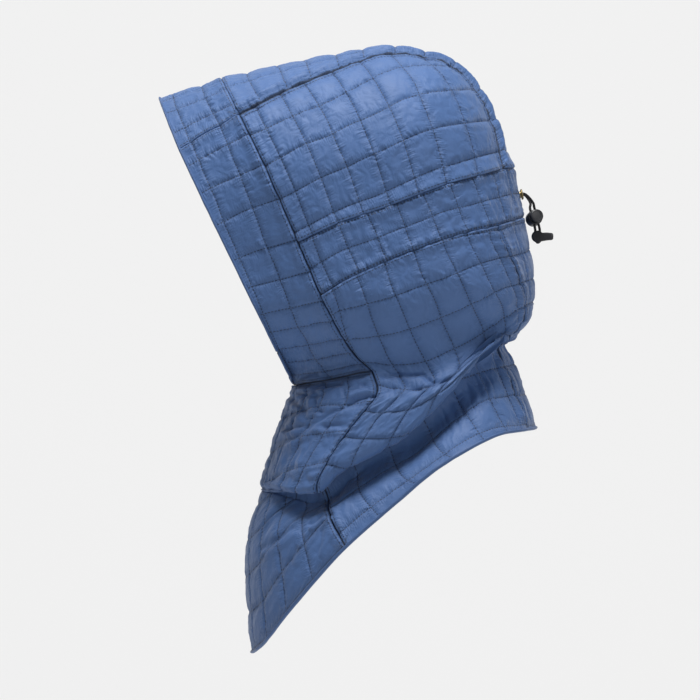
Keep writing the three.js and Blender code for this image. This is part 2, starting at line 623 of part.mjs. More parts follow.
addMesh("cord_lock_body", toGeometry(barrel.subtract(slotSolid(-1.6, 1.6))).applyMatrix4(lockFrame),
  HARDWARE_COLOUR, 0.45);
const plunger = ringSolid([[0, -3.3], [STEM_RADIUS, -3.3], [STEM_RADIUS, 6.4], [CAP_RADIUS - 0.2, 6.4],
  [CAP_RADIUS, 7], [CAP_RADIUS - 0.2, 8.2], [4.6, 8.8], [0, 9]], 24);
addMesh("cord_lock_button", toGeometry(plunger.subtract(slotSolid(-1.6, 4.1))).applyMatrix4(lockFrame),
  HARDWARE_COLOUR, 0.4);

// Cord end: a flat tab that lies sideways, its wide round end taking both strands from above
const TAB_CORNER = 0.8;
const tab = new THREE.Shape();
tab.moveTo(TAB_LENGTH - TAB_CORNER, -TAB_TIP_HALF);
tab.lineTo(TAB_LENGTH, TAB_CORNER - TAB_TIP_HALF);
tab.lineTo(TAB_LENGTH, TAB_TIP_HALF - TAB_CORNER);
tab.lineTo(TAB_LENGTH - TAB_CORNER, TAB_TIP_HALF);
tab.lineTo(3.6, 3.9);
tab.absarc(0, 0, TAB_ROUND_RADIUS, 0.8, 2 * Math.PI - 1.75, false);
tab.lineTo(-0.4, -6.2);
tab.lineTo(1.8, -6.0);
tab.lineTo(3.2, -4.3);
const tabSolid = toSolid(new THREE.ExtrudeGeometry(tab, {
  depth: 3.6, bevelEnabled: true, bevelThickness: 0.9, bevelSize: 0.7, bevelOffset: -0.7, bevelSegments: 2,
  curveSegments: 8,
}).translate(0, 0, -1.8).applyMatrix4(new THREE.Matrix4().makeBasis(
  new THREE.Vector3(0, 1, 0), new THREE.Vector3(0, 0, 1), new THREE.Vector3(1, 0, 0),
)));
const endHoles = [-1, 1].map((side) => toSolid(
  new THREE.CylinderGeometry(1.4, 1.4, 10, 16).rotateX(Math.PI / 2).translate(0, (side * CORD_SPACING) / 2, 5),
));
const endSolid = tabSolid.subtract(endHoles[0]).subtract(endHoles[1]);
addMesh("cord_end", toGeometry(endSolid).translate(...CORD_END_CENTRE.toArray()), HARDWARE_COLOUR, 0.5);

// The two strands of elastic cord, from inside the channel through eyelet and lock into the cord end
for (const [name, side] of [["cord_left", 1], ["cord_right", -1]]) {
  const strand = LOCK_CENTRE.clone().addScaledVector(apart, (CORD_SPACING / 2) * side);
  const exit = eyeletAt(side);
  const foot = CORD_END_CENTRE.clone();
  foot.y += (CORD_SPACING / 2) * Math.sign(apart.y) * side;
  addTube(name, [
    exit.clone().addScaledVector(EYELET_AXIS, -6.5),
    exit.clone().addScaledVector(EYELET_AXIS, -1),
    exit.clone().addScaledVector(EYELET_AXIS, 4),
    exit.clone().lerp(strand, 0.5).add(new THREE.Vector3(0, 4, 3)),
    strand.clone().addScaledVector(strandWay, -9),
    strand,
    strand.clone().addScaledVector(strandWay, 8),
    foot.clone().add(new THREE.Vector3(0, 0, 5.6)),
    foot.clone().add(new THREE.Vector3(0, 0, 0.7)),
  ], CORD_DIAMETER / 2, 8, 24, CORD_COLOUR, 0.9);
}

export default group;
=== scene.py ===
"""A quilted pull-on hood in its worn shape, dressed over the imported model.

Tables hold millimetres in the side view, [y, z], with y to the back and z up; meshes are written in metres.
+X is the wearer's left. Every cloth panel is a surface over two parameters, worked out as whole arrays.
"""

import math

import bpy
import numpy as np
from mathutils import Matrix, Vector


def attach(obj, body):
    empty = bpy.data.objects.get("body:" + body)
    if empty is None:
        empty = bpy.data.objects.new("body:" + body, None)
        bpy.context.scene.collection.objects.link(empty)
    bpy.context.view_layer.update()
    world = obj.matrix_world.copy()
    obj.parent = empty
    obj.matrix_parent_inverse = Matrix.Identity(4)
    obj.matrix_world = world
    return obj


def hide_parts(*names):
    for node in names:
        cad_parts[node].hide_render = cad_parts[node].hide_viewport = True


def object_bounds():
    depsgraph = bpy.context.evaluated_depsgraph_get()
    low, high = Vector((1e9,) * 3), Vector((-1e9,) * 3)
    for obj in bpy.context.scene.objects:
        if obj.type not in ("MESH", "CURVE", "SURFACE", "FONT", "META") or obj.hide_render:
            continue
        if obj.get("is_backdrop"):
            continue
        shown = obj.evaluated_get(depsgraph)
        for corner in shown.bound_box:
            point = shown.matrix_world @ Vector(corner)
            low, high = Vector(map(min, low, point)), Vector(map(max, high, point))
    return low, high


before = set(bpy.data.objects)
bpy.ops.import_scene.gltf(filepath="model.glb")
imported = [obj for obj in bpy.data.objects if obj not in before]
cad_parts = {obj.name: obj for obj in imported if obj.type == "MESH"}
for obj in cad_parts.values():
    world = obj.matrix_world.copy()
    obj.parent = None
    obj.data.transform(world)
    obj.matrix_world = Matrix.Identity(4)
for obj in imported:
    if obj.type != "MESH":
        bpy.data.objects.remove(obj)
cad_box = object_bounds()

MM = 0.001
BODY = "hood"
MIRROR = np.array([-1, 1, 1])

# Camera: a level view of the wearer's left side from far away
IMAGE_SIDE = 700
PIXEL = 0.85  # mm of the object to a pixel of the picture
VIEW_CENTRE = (-29.75, -252.45)  # y and z at the picture's middle
CAMERA_DISTANCE = 4.0
SENSOR = 36


def linked(name, data):
    """A new object of the scene."""
    made = bpy.data.objects.new(name, data)
    bpy.context.scene.collection.objects.link(made)
    return made


camera_data = bpy.data.cameras.new("camera")
camera_data.sensor_width = SENSOR
camera_data.lens = SENSOR * CAMERA_DISTANCE / (IMAGE_SIDE * PIXEL * MM)
camera_data.clip_end = 30
camera = linked("camera", camera_data)
camera.location = (CAMERA_DISTANCE, VIEW_CENTRE[0] * MM, VIEW_CENTRE[1] * MM)
camera.rotation_euler = (math.radians(90), 0, math.radians(90))
bpy.context.scene.camera = camera

# Wall and relief, mm
LINING_DEPTH = 6.0  # from the middle surface to the plain inside
SEAM_GAP = 0.35
HEAD_HALF_WIDTH = 104
RIM_HALF_WIDTH = 88
HEAD_ROUNDING = 105
RIM_ROUNDING = 135
NECK_ROUNDING = 82
RIM_NORMAL = (0.902, 0.431)  # across the rim's plane, y and z
RIM_RUN = 85  # distance behind that plane over which the head widens
LATTICE = 64  # random heights along each side of the noise's square

# Outlines and seams in the side view, as [y, z]
CENTRE_BACK = [[-255, -53], [-191, -38], [-139, -22], [-91, -11], [-42, -1], [1, 6], [34, 1.5], [58, -8],
    [81, -31], [95, -57], [104, -83], [110, -101], [118, -140], [124, -172], [127.5, -204], [123, -227],
    [114, -237], [101, -247]]
CENTRE_FRONT = [[-77, -282], [-81, -291], [-90, -316.5], [-102, -353], [-106, -368]]
RIM_SIDE = [[-172, -84], [-145, -141], [-110, -213], [-77, -282]]
VISOR_SEAM_TOP = [[-172, -84], [-148, -70], [-122, -56]]
CROWN_SEAM = [[-122, -56], [-83, -35], [-44, -18.4], [1, -3.4], [35, -6], [54, -11.6], [74.6, -30.6],
    [89.5, -60], [99, -100]]
CORNER_ON_CROWN_SEAM = 5
FRONT_SEAM = [[-122, -56], [-100, -101], [-73, -163], [-54, -207.5], [-27.6, -255.5], [-11.4, -270]]
CHANNEL_TOP = [[-73, -163], [-37, -146.5], [-2.6, -135], [51.6, -114.6], [81.3, -105.8], [99, -100],
    [109.5, -98]]
CHANNEL_FOOT = [[-54, -207.5], [-30, -193], [24.5, -169.5], [65, -155.5], [94, -148.5], [118, -140]]
NAPE_SEAM = [[94, -148.5], [98, -162], [106, -177], [112, -192], [117.5, -207], [118.6, -221]]

# Rings from top to bottom: crease, roll's top and crest, fold edge, undercut, cape's top and middle, hem.
# Each has half width, rounding at front and back, y of the front and the back seam, and its line
RINGS = [
    (0, 82, 105, -11.4, 118.6, [[-77, -282], [-45, -277], [-11.4, -270], [11, -273], [35, -272], [60, -263],
     [85, -247], [105, -231], [125.5, -217]]),
    (93, 84, 100, -8, 117, [[-82, -295], [-45, -293], [-8, -290], [11, -287], [35, -281], [60, -269],
     [85, -251], [105, -236], [125, -223]]),
    (99, 86, 96, -31.5, 112, [[-92, -320], [-60, -321], [-31.5, -320.5], [-9, -311], [23, -297], [47, -279],
     [76, -257], [100, -239.5], [121, -230]]),
    (95, 88, 86, -56, 103.5, [[-106, -368], [-80, -368], [-56, -365.5], [-44, -353], [-26, -343.5],
     [-1.7, -331.5], [21, -318.5], [38, -302], [52, -286], [70, -266], [90, -248.5], [112, -240]]),
    (77, 86, 74, -54.5, 95.5, [[-104, -371.5], [-80, -371.5], [-54.5, -367.5], [-42, -353.5], [-26, -342],
     [-1.7, -329.5], [21, -317.5], [38, -303], [52, -289], [70, -270], [90, -253], [101, -247.5]]),
    (81, 88, 80, -53, 101, [[-107, -377], [-80, -376], [-53, -373.5], [-34, -357], [-1.7, -340], [21, -330],
     [38, -316], [52, -304], [70, -289], [90, -273], [108, -260]]),
    (97, 92, 90, -47, 109, [[-118.5, -425], [-85, -411], [-47, -390], [-10, -367], [21, -349], [52, -324],
     [81, -301], [117.5, -284]]),
    (112, 96, 96, -34, 120.5, [[-114, -508.5], [-103, -497.5], [-87, -476], [-59, -442], [-34, -414.5],
     [6, -379], [39, -351], [64, -335.5], [81, -327], [97, -321], [113, -319], [129, -317.6]]),
]
HEM = len(RINGS) - 1
NECK_CREASE = RINGS[0][-1]


def smooth(t):
    """Ease from 0 to 1: 3t^2 - 2t^3 with t held between 0 and 1."""
    s = np.clip(t, 0, 1)
    return s * s * (3 - 2 * s)


def bell(x, width):
    """1 at 0, falling away on both sides: exp(-(x / width)^2)."""
    return np.exp(-((x / width) ** 2))


def length(vectors):
    """Lengths of vectors."""
    return np.linalg.norm(vectors, axis=-1)


def run_of(points):
    """Length run along a row of points up to each."""
    return np.r_[0, np.cumsum(length(np.diff(points, axis=0)))]


def unit(vectors):
    """The vectors at length 1."""
    return vectors / np.maximum(1e-9, length(vectors))[..., None]


def line_through(points, fine=1200):
    """Centripetal Catmull-Rom line through the points, as a function of the share of its length."""
    p = np.asarray(points, float)
    p = np.vstack([2 * p[0] - p[1], p, 2 * p[-1] - p[-2]])
    step = np.sqrt(length(np.diff(p, axis=0)))[:, None]
    x0, x1, x2, x3 = p[:-3], p[1:-2], p[2:-1], p[3:]
    d0, d1, d2 = step[:-2], step[1:-1], step[2:]
    t1 = ((x1 - x0) / d0 - (x2 - x0) / (d0 + d1) + (x2 - x1) / d1) * d1
    t2 = ((x2 - x1) / d1 - (x3 - x1) / (d1 + d2) + (x3 - x2) / d2) * d1
    along = np.linspace(0, len(x1), fine + 1)
    k = np.minimum(along.astype(int), len(x1) - 1)
    t = (along - k)[:, None]
    c2 = -3 * x1 + 3 * x2 - 2 * t1 - t2
    c3 = 2 * x1 - 2 * x2 + t1 + t2
    places = x1[k] + t * (t1[k] + t * (c2[k] + t * c3[k]))
    run = run_of(places)
    shares = run / run[-1]

    def at(share):
        s = np.clip(np.asarray(share, float), 0, 1)
        return np.stack([np.interp(s, shares, places[:, axis]) for axis in range(places.shape[1])], -1)

    return at


def stretch(at, start, end):
    """The part of a line between two of its shares, as a line of its own."""
    return lambda share: at(start + (end - start) * np.asarray(share, float))


def share_near(at, place):
    """Share of a line at which it comes nearest to a place."""
    s = np.linspace(0, 1, 2001)
    return s[np.argmin(length(at(s) - place))]


def nearest_on(line, y, z):
    """Distance to a line's nearest chord, place along the line in chords, and side: above 0 on the left."""
    best = np.full(np.shape(y), np.inf)
    place, left = np.zeros(np.shape(y)), np.zeros(np.shape(y))
    last = len(line) - 2
    for i in range(last + 1):
        (ay, az), (by, bz) = line[i], line[i + 1]
        dy, dz = by - ay, bz - az
        t = ((y - ay) * dy + (z - az) * dz) / (dy * dy + dz * dz)
        s = np.clip(t, 0, 1)
        gap = np.hypot(y - ay - s * dy, z - az - s * dz)
        nearer = gap < best
        best = np.where(nearer, gap, best)
        held = np.clip(t, 0 if i else -np.inf, 1 if i < last else np.inf)
        place = np.where(nearer, i + held, place)
        left = np.where(nearer, dy * (z - az) - dz * (y - ay), left)
    return best, place, left


OUTLINE_CHORDS = 160


def distance_to(points, side):
    """Signed distance to a line: above 0 on the side given and beyond the line's ends."""
    line = line_through(points)(np.linspace(0, 1, OUTLINE_CHORDS + 1))

    def at(y, z):
        gap, place, left = nearest_on(line, y, z)
        inside = (place < 0) | (place > OUTLINE_CHORDS) | (side * left > 0)
        return np.where(inside, gap, -gap)

    return at


to_back = distance_to(CENTRE_BACK, -1)
to_front = distance_to(CENTRE_FRONT, 1)


def height_at(points, y):
    """Height of a ring's line at y: cubic Hermite through its points with slopes from their neighbours."""
    p = np.asarray(points, float)
    ahead = np.r_[np.arange(1, len(p)), len(p) - 1]
    behind = np.r_[0, np.arange(len(p) - 1)]
    slope = (p[ahead, 1] - p[behind, 1]) / (p[ahead, 0] - p[behind, 0])
    i = np.clip(np.searchsorted(p[:, 0], y) - 1, 0, len(p) - 2)
    wide = p[i + 1, 0] - p[i, 0]
    t = np.clip((y - p[i, 0]) / wide, 0, 1)
    return ((2 * t**3 - 3 * t**2 + 1) * p[i, 1] + (t**3 - 2 * t**2 + t) * slope[i] * wide
            + (3 * t**2 - 2 * t**3) * p[i + 1, 1] + (t**3 - t**2) * slope[i + 1] * wide)


def rounded(distance, radius):
    """Square of a quarter circle's height at a distance from its edge."""
    t = np.minimum(1, distance / radius)
    return 2 * t - t * t


def behind_rim(y, z):
    """0 on the rim's plane, 1 from RIM_RUN behind it on."""
    (top_y, top_z), (across_y, across_z) = RIM_SIDE[0], RIM_NORMAL
    return smooth(((y - top_y) * across_y + (z - top_z) * across_z) / RIM_RUN)


def head_rounding(y, z):
    """Radius with which the head part rounds off to its outline."""
    return RIM_ROUNDING + (HEAD_ROUNDING - RIM_ROUNDING) * behind_rim(y, z)


def head_width(y, z):
    """Half width of the head part: full width times two quarter circles, narrowed towards the crease."""
    above = z - height_at(NECK_CREASE, np.clip(y, NECK_CREASE[0][0], NECK_CREASE[-1][0]))
    narrowing = 1 - (0.21 - 0.19 * smooth((y - 5) / 85)) * (1 - smooth(above / 70))
    half = (RIM_HALF_WIDTH + (HEAD_HALF_WIDTH - RIM_HALF_WIDTH) * behind_rim(y, z)) * narrowing
    square = rounded(to_back(y, z), head_rounding(y, z)) * rounded(to_front(y, z), NECK_ROUNDING)
    return half * np.sqrt(np.maximum(0, square))


def ring_point(k, q):
    """Place on ring k at the angle share q, from front to back."""
    half, front_radius, back_radius, *_, line = RINGS[k]
    front, back = line[0][0], line[-1][0]
    y = front + (back - front) * (1 - np.cos(np.pi * q)) / 2
    z = height_at(line, y)
    if k == 0:
        x = head_width(y, z)
    else:
        x = half * np.sqrt(np.maximum(0, rounded(y - front, front_radius) * rounded(back - y, back_radius)))
    return np.stack([x, y, z], -1)


def share_at_y(k, y):
    """Angle share of ring k at y."""
    line = RINGS[k][-1]
    return np.arccos(1 - 2 * (y - line[0][0]) / (line[-1][0] - line[0][0])) / np.pi


def between(values, v):
    """Cubic between values given per ring (first axis), at the height v counted in rings."""
    k = np.clip(np.floor(v).astype(int), 0, HEM - 1)
    t = v - k
    if values[0].ndim > np.ndim(t):
        t = t[..., None]
    a, b, c, d = (pick(values, np.clip(k + n, 0, HEM)) for n in (-1, 0, 1, 2))
    return b + 0.5 * t * (c - a + t * (2 * a - 5 * b + 4 * c - d + t * (3 * (b - c) + d - a)))


def pick(values, k):
    """The ring's value that belongs to each element of k."""
    if values[0].ndim == 0:
        return np.asarray(values)[k]
    shape = k.shape + (1,) * (values[0].ndim - k.ndim)
    return np.choose(np.broadcast_to(k.reshape(shape), values[0].shape), values)


def lower_point(q, v):
    """Place on neck and cape: q is 0 at the front centre, 1 at the back centre."""
    beyond = (q < 0) | (q > 1)
    share = np.where(beyond, np.where(q < 0, -q, 2 - q), q)
    places = between([ring_point(k, share) for k in range(HEM + 1)], v)
    places[..., 0] *= np.where(beyond, -1.0, 1.0)
    return places


def panel(top, foot, front, back):
    """Side view of a four-sided panel, blended from its border lines."""

    def at(u, v):
        u1, v1 = u[..., None], v[..., None]
        ends = (1 - v1) * top(u) + v1 * foot(u) + (1 - u1) * front(v) + u1 * back(v)
        corners = ((1 - u1) * (1 - v1) * top(0.0) + u1 * (1 - v1) * top(1.0)
                   + (1 - u1) * v1 * foot(0.0) + u1 * v1 * foot(1.0))
        return ends - corners

    return at


def on_head(side_view):
    """Side-view places on the head part: x is the half width there."""
    y, z = side_view[..., 0], side_view[..., 1]
    return np.stack([head_width(y, z), y, z], -1)


def on_arch(centre, edge, t):
    """Arch from an edge over the centre to the other side."""
    y, z = edge[..., 0], edge[..., 1]
    width = head_width(y, z)
    angle = np.arcsin(np.sqrt(rounded(to_back(y, z), head_rounding(y, z))))
    share = ((1 - np.cos(angle * t)) / (1 - np.cos(angle)))[..., None]
    side_view = centre + (edge - centre) * share
    return np.concatenate([(width * np.sin(angle * t) / np.sin(angle))[..., None], side_view], -1)


def noise(x, y, seed):
    """Value noise from -1 to 1: random heights on a square lattice, eased between its points."""
    heights = np.random.default_rng(seed).uniform(-1, 1, (LATTICE, LATTICE))
    i, j = np.floor(x).astype(int), np.floor(y).astype(int)
    s, t = smooth(x - i), smooth(y - j)
    corner = lambda di, dj: heights[(i + di) % LATTICE, (j + dj) % LATTICE]
    return ((corner(0, 0) * (1 - s) + corner(1, 0) * s) * (1 - t)
            + (corner(0, 1) * (1 - s) + corner(1, 1) * s) * t)


def turned(normal, other, share):
    """Unit vectors turned from one set towards another by a share."""
    share = share[..., None]
    return unit(normal * (1 - share) + other * share)


def normals_of(places):
    """Unit normals of a grid of places: cross product of its two central differences."""
    return unit(np.cross(np.gradient(places, axis=0), np.gradient(places, axis=1)))


THROAT = np.array([0, -77, -282])
THROAT_NORMAL = np.array([0, -0.93, 0.36])


def head_normals(places):
    """Normals of the head part's form x^2 = width(y, z)^2, turned to the throat's own slope near it."""
    x, y, z = np.moveaxis(places, -1, 0)
    step = 0.6
    slopes = [(head_width(y - a, z - b) ** 2 - head_width(y + a, z + b) ** 2) / (2 * step)
              for a, b in ((step, 0), (0, step))]
    normal = unit(np.stack([2 * x, *slopes], -1))
    return turned(normal, THROAT_NORMAL, 1 - smooth(length(places - THROAT) / 40))


def shared_normals(places, border):
    """Normals of a grid that turn into the head's own near its top or foot."""
    line = {"top": places[0], "foot": places[-1]}[border]
    return turned(normals_of(places), head_normals(line)[None], bell(border_distance(places)[border], 9))


def step_lengths(places, cells, axis):
    """Millimetres to one quilt cell along an axis: length of a grid step over its step in cells."""
    return length(np.gradient(places, axis=axis)) / np.maximum(1e-6, np.abs(np.gradient(cells, axis=axis)))


def run_along(places, axis):
    """Length run along one grid direction from its first line, mm."""
    run = np.cumsum(length(np.diff(places, axis=axis)), axis=axis)
    return np.pad(run, [(1, 0) if n == axis else (0, 0) for n in (0, 1)])


def border_distance(places):
    """Length run to each of the four borders of a grid."""
    across, down = run_along(places, 1), run_along(places, 0)
    return {"left": across, "right": across[:, -1:] - across, "top": down, "foot": down[-1:] - down}


# Quilting, mm
PUFF = 2.3  # height of the wadding in the middle of a cell
PUFF_RUN = 4.2  # distance from a stitch line over which the wadding rises
PUCKER = 0.95
PUCKER_PITCH = 3.6
CREASE = 0.42  # height of the soft wrinkles inside the cells
# Seams: how far a sewn edge rolls in, over what width, how high it stands beside that, by how much the seam's
# shadow is wider than usual, and whether a topstitch runs beside it
PLAIN_SEAM = (2.5, 1.5, 0.8, 0, True)
VISOR_SEAM = (1.8, 1.3, 0.8, -0.3, True)
FLAT_SEAM = (0.6, 0.9, 0.4, -0.75, True)
CROWN_SEAM_ROLL = (3.6, 5.0, 3.4, 1.8, False)
CROWN_SEAM_SIDE = (3.0, 2.4, -1.8, 1.2, True)
FREE_EDGE = (0, 1, 0, -20, False)
LEAST_HEIGHT = -5.0  # no relief goes deeper
EDGE_TAPER = 15  # distance from a free edge over which the wadding thins out
EDGE_DEPTH = 2.4  # what is left of the lining's depth there


def creased(x, y, seed):
    """Noise with round hills and sharp valleys."""
    return 2 * np.abs(noise(x, y, seed)) - 0.7


def quilting(places, a, b, seed, puff):
    """Height of quilted cloth with stitch lines where a or b is whole: wadding between them, short
    puckers across them, and slanting wrinkles in the cells."""
    mm_a = np.clip(step_lengths(places, a, 1), 4, 60)
    mm_b = np.clip(step_lengths(places, b, 0), 4, 60)
    off_a = np.abs(a - np.round(a)) * mm_a
    off_b = np.abs(b - np.round(b)) * mm_b
    run_a, run_b = run_along(places, 1), run_along(places, 0)
    rise = (1 - np.exp(-off_a / PUFF_RUN)) * (1 - np.exp(-off_b / PUFF_RUN))
    cell = 0.85 + 0.3 * noise(np.floor(a) * 3.7, np.floor(b) * 5.3, seed + 2)
    bend = 0.9 * noise(run_a / 9, run_b / 9, seed + 6)
    over_rows = creased(run_a / PUCKER_PITCH + bend, np.round(b) * 9.1 + off_b / 15, seed + 3)
    over_columns = creased(run_b / PUCKER_PITCH + bend, np.round(a) * 7.7 + off_a / 15, seed + 4)
    row_pucker = over_rows * np.exp(-off_b / 6.5) * (0.5 + 0.5 * smooth(noise(run_a / 24, b, seed + 7) + 0.6))
    column_pucker = over_columns * np.exp(-off_a / 5.0)
    slanted = creased((run_a + 0.55 * run_b) / 7 + bend, (run_b - 0.4 * run_a) / 19, seed + 5)
    small = creased((run_a - 0.7 * run_b) / 4.2 - bend, (run_b + 0.5 * run_a) / 11, seed + 8)
    groove = 0.4 * (bell(off_a, 0.9) + bell(off_b, 0.9))
    return (puff * rise * cell + PUCKER * (row_pucker + 0.7 * column_pucker)
            + rise * (CREASE * slanted + 0.3 * CREASE * small) - groove - 0.4 * puff)


def sewn_edges(places, seams, seed):
    """Height beside the sewn borders, which roll in and have puckers across them."""
    borders = border_distance(places)
    run = {"left": run_along(places, 0), "top": run_along(places, 1)}
    run["right"], run["foot"] = run["left"], run["top"]
    height = np.zeros(places.shape[:2])
    for number, (name, (depth, roll, beside, *_)) in enumerate(seams.items()):
        d = borders[name]
        t = np.clip(1 - d / roll, 0, 1)
        height -= depth * (1 - np.sqrt(1 - t * t * 0.98))
        height += beside * bell(d - roll - 3, 3.5)
        bend = 0.5 * noise(run[name] / 15, d / 9, seed + number)
        wrinkle = creased(run[name] / 4.4 + bend, d / 20 + 3, seed + 9)
        height += 0.9 * wrinkle * np.exp(-d / 8) * smooth(d / 1.5)
    return height


# Folds in the cloth beside the quilting: depth of the valley, its half width, height of the bulge on its
# lower side, or on its upper side where that is below 0, and the line in the side view
FOLDS = [
    # Throat, foot of the visor band and the seam's corner
    (2.6, 2, 1, [[-77.3, -282.2], [-62, -281.8], [-46.8, -282.2], [-33.1, -280.5]]),
    (2.6, 1.5, 1.2, [[-38.2, -276.2], [-28.1, -275.4], [-19.6, -274.6], [-11.9, -271.1]]),
    (1.3, 1.8, 0.8, [[-75.6, -276.2], [-56.9, -273.3], [-46.8, -276.2], [-33.1, -277.1]]),
    (0.9, 2, 0.6, [[-80.8, -270.3], [-62, -268.6], [-42.5, -264.3], [-19.6, -260.1]]),
    (2.6, 1.6, 1.6, [[-6.8, -290.7], [-16.1, -291.6], [-24.6, -293.7], [-34, -300.1]]),
    (1.3, 1.6, 1, [[-33.1, -288.1], [-24.6, -284.8], [-15.3, -281.3]]),
    (1, 1.4, 0.8, [[-34.9, -283.9], [-28.1, -283.1], [-21.2, -279.6]]),
    # Bib above the fold
    (1.9, 1.8, 1.7, [[-90.1, -318.8], [-80.8, -318.3], [-69.7, -316.2], [-57.8, -312.8], [-47.6, -306],
     [-33.1, -299.2]]),
    (1.4, 2, 1.7, [[-97.8, -336.6], [-86.7, -328.1], [-75.6, -325.6], [-68, -320.4], [-56.9, -316.6],
     [-45, -315.3], [-29.8, -316.2]]),
    (1.7, 1.7, 0.7, [[-55.2, -286.4], [-59.1, -293.2], [-56.9, -301.8], [-51.9, -306.8]]),
    (1.5, 1.7, -0.7, [[-34.9, -283.1], [-34, -291.6], [-34, -300.1]]),
    (1.3, 2, 0.9, [[-82.5, -289], [-74.8, -296.6], [-68.8, -302.6], [-65.5, -314.5]]),
    (1, 1.7, 0.7, [[-75.6, -287.3], [-65.5, -289.8], [-56.9, -287.3]]),
    (1.2, 4.5, 0, [[-85.8, -357.8], [-72.2, -361.2], [-58.6, -359.6]]),
    (1.2, 2.4, -0.8, [[-83.3, -351.1], [-80.8, -341.7], [-74, -333.2], [-68, -327.2]]),
    (2.6, 1.8, -1.8, [[-108.8, -370.2], [-97.8, -369.8], [-85, -370.6], [-72.2, -372.3], [-55.2, -368.9]]),
    # Neck
    (2, 1.7, 0.8, [[-11.9, -272.8], [0, -274.6], [11, -273.3], [21.2, -274.1], [30.6, -273.7],
     [39.1, -278.4], [48.4, -277.9], [59.5, -273.7]]),
    (1.5, 2.6, 1, [[11.9, -274.6], [16.1, -280.5], [22.9, -283.9], [31.4, -285.6]]),
    (1.1, 2.4, 0.8, [[33.1, -275.4], [39.9, -281.3], [48.4, -283.1]]),
    (0.9, 2, 0.6, [[-6, -285.6], [0.8, -287.3], [10.2, -284.8]]),
    # Cape
    (2, 1.7, 1.6, [[-67.1, -398.6], [-60.4, -395.2], [-55.2, -390.1], [-48.4, -387.6], [-41.6, -391.8]]),
    (1.5, 2.4, 1.3, [[-109.6, -421.6], [-101.1, -417.3], [-89.2, -408.8], [-74, -397.8]]),
    (1.2, 3.4, 0.9, [[-102.8, -408.8], [-96, -395.2], [-84.1, -381.6], [-75.6, -376.6]]),
    (1, 2.6, 0.8, [[-89.2, -408], [-83.3, -393.6], [-74.8, -386.8], [-67.1, -377.4]]),
    (1.2, 2, 0.9, [[-57.8, -424.1], [-54.4, -412.2], [-53.5, -400.3]]),
    (0.9, 1.8, 0.7, [[-79.9, -430.9], [-77.3, -421.6], [-73.1, -414.8]]),
    # Nape
    (2, 1.7, -1.2, [[96, -245.7], [102, -238.8], [108.8, -233.8], [118.1, -228.7]]),
    (1.2, 1.8, -0.8, [[85.8, -248.2], [95.2, -239.7], [104.5, -232], [114.8, -223.5]]),
]


FOLD_CHORDS = 30
FOLD_REACH = 25  # a fold does nothing further from its line than this


def fold_relief(places):
    """Sum over the folds: a valley, and a bulge beside it, that fade at the ends of the fold's line."""
    side_view = places[..., 1:]
    height = np.zeros(places.shape[:-1])
    for depth, width, bulge, points in FOLDS:
        line = line_through(points, 60)(np.linspace(0, 1, FOLD_CHORDS + 1))
        near = (side_view > line.min(0) - FOLD_REACH) & (side_view < line.max(0) + FOLD_REACH)
        near = near.all(-1)
        if not near.any():
            continue
        gap, place, left = nearest_on(line, *side_view[near].T)
        share = np.clip(place, 0, FOLD_CHORDS) / FOLD_CHORDS
        fade = smooth(share / 0.15) * smooth((1 - share) / 0.15)
        beside = -gap * np.sign(left) * (np.sign(bulge) or 1)
        ridge = abs(bulge) * bell(beside - 2.4 * width, 1.5 * width)
        height[near] += fade * (-depth * bell(gap, width) + ridge)
    return height


def smooth_piece(name, points, blocks):
    """Object with a smooth mesh from places in mm and blocks of faces, given by the places' numbers."""
    faces = [face for block in blocks for face in block.tolist()]
    mesh = bpy.data.meshes.new(name)
    mesh.from_pydata((points.reshape(-1, 3) * MM).tolist(), [], faces)
    mesh.polygons.foreach_set("use_smooth", np.ones(len(faces), bool))
    mesh.update()
    return linked(name, mesh)


def add_uv(piece, name, values, blocks):
    """UV map of a piece from a pair of values to each of its places."""
    corners = np.concatenate([block.reshape(-1) for block in blocks])
    piece.data.uv_layers.new(name=name).data.foreach_set("uv", values[corners].astype(np.float32).reshape(-1))


def quad_faces(n):
    """Quads of a grid of vertex numbers, facing the way of its columns crossed with its rows."""
    return np.stack([n[:-1, :-1], n[1:, :-1], n[1:, 1:], n[:-1, 1:]], -1).reshape(-1, 4)


LINING_STEP = 2  # the lining's grid takes every other line of the outside's


def cloth_mesh(name, places, normal, lift, relief, depth, maps, mirrored=False):
    """Closed wall over a grid: the lifted outside, the plain lining side on every other line, and strips
    that join them. The maps, two values to a place, become UV maps of the outside."""
    outer = places + lift * relief[..., None]
    inner = (places - normal * depth[..., None])[::LINING_STEP, ::LINING_STEP]
    for layer in (outer, inner):
        pull_in(layer)
    points = np.concatenate([outer.reshape(-1, 3), inner.reshape(-1, 3)])
    n = np.arange(relief.size).reshape(relief.shape)
    m = n.size + np.arange(inner[..., 0].size).reshape(inner.shape[:2])
    blocks = [quad_faces(n), quad_faces(m)[:, ::-1]]
    ahead, back = slice(None), slice(None, None, -1)
    for border in ((0, ahead), (ahead, -1), (-1, back), (back, 0)):
        line, under = n[border], m[border]
        first, middle, last, a, b = line[:-2:2], line[1::2], line[2::2], under[:-1], under[1:]
        blocks += [np.stack(corner, -1) for corner in ((first, middle, a), (middle, last, b), (a, middle, b))]
    if mirrored:
        points = points * MIRROR
        blocks = [block[:, ::-1] for block in blocks]
    piece = smooth_piece(name, points, blocks)
    for key, values in maps.items():
        below = values[::LINING_STEP, ::LINING_STEP]
        add_uv(piece, key, np.concatenate([values.reshape(-1, 2), below.reshape(-1, 2)]), blocks)
    outside = piece.data.attributes.new("outside", "FLOAT", "POINT")
    outside.data.foreach_set("value", np.r_[np.ones(n.size), np.zeros(m.size)].astype(np.float32))
    piece.data.validate()
    return piece


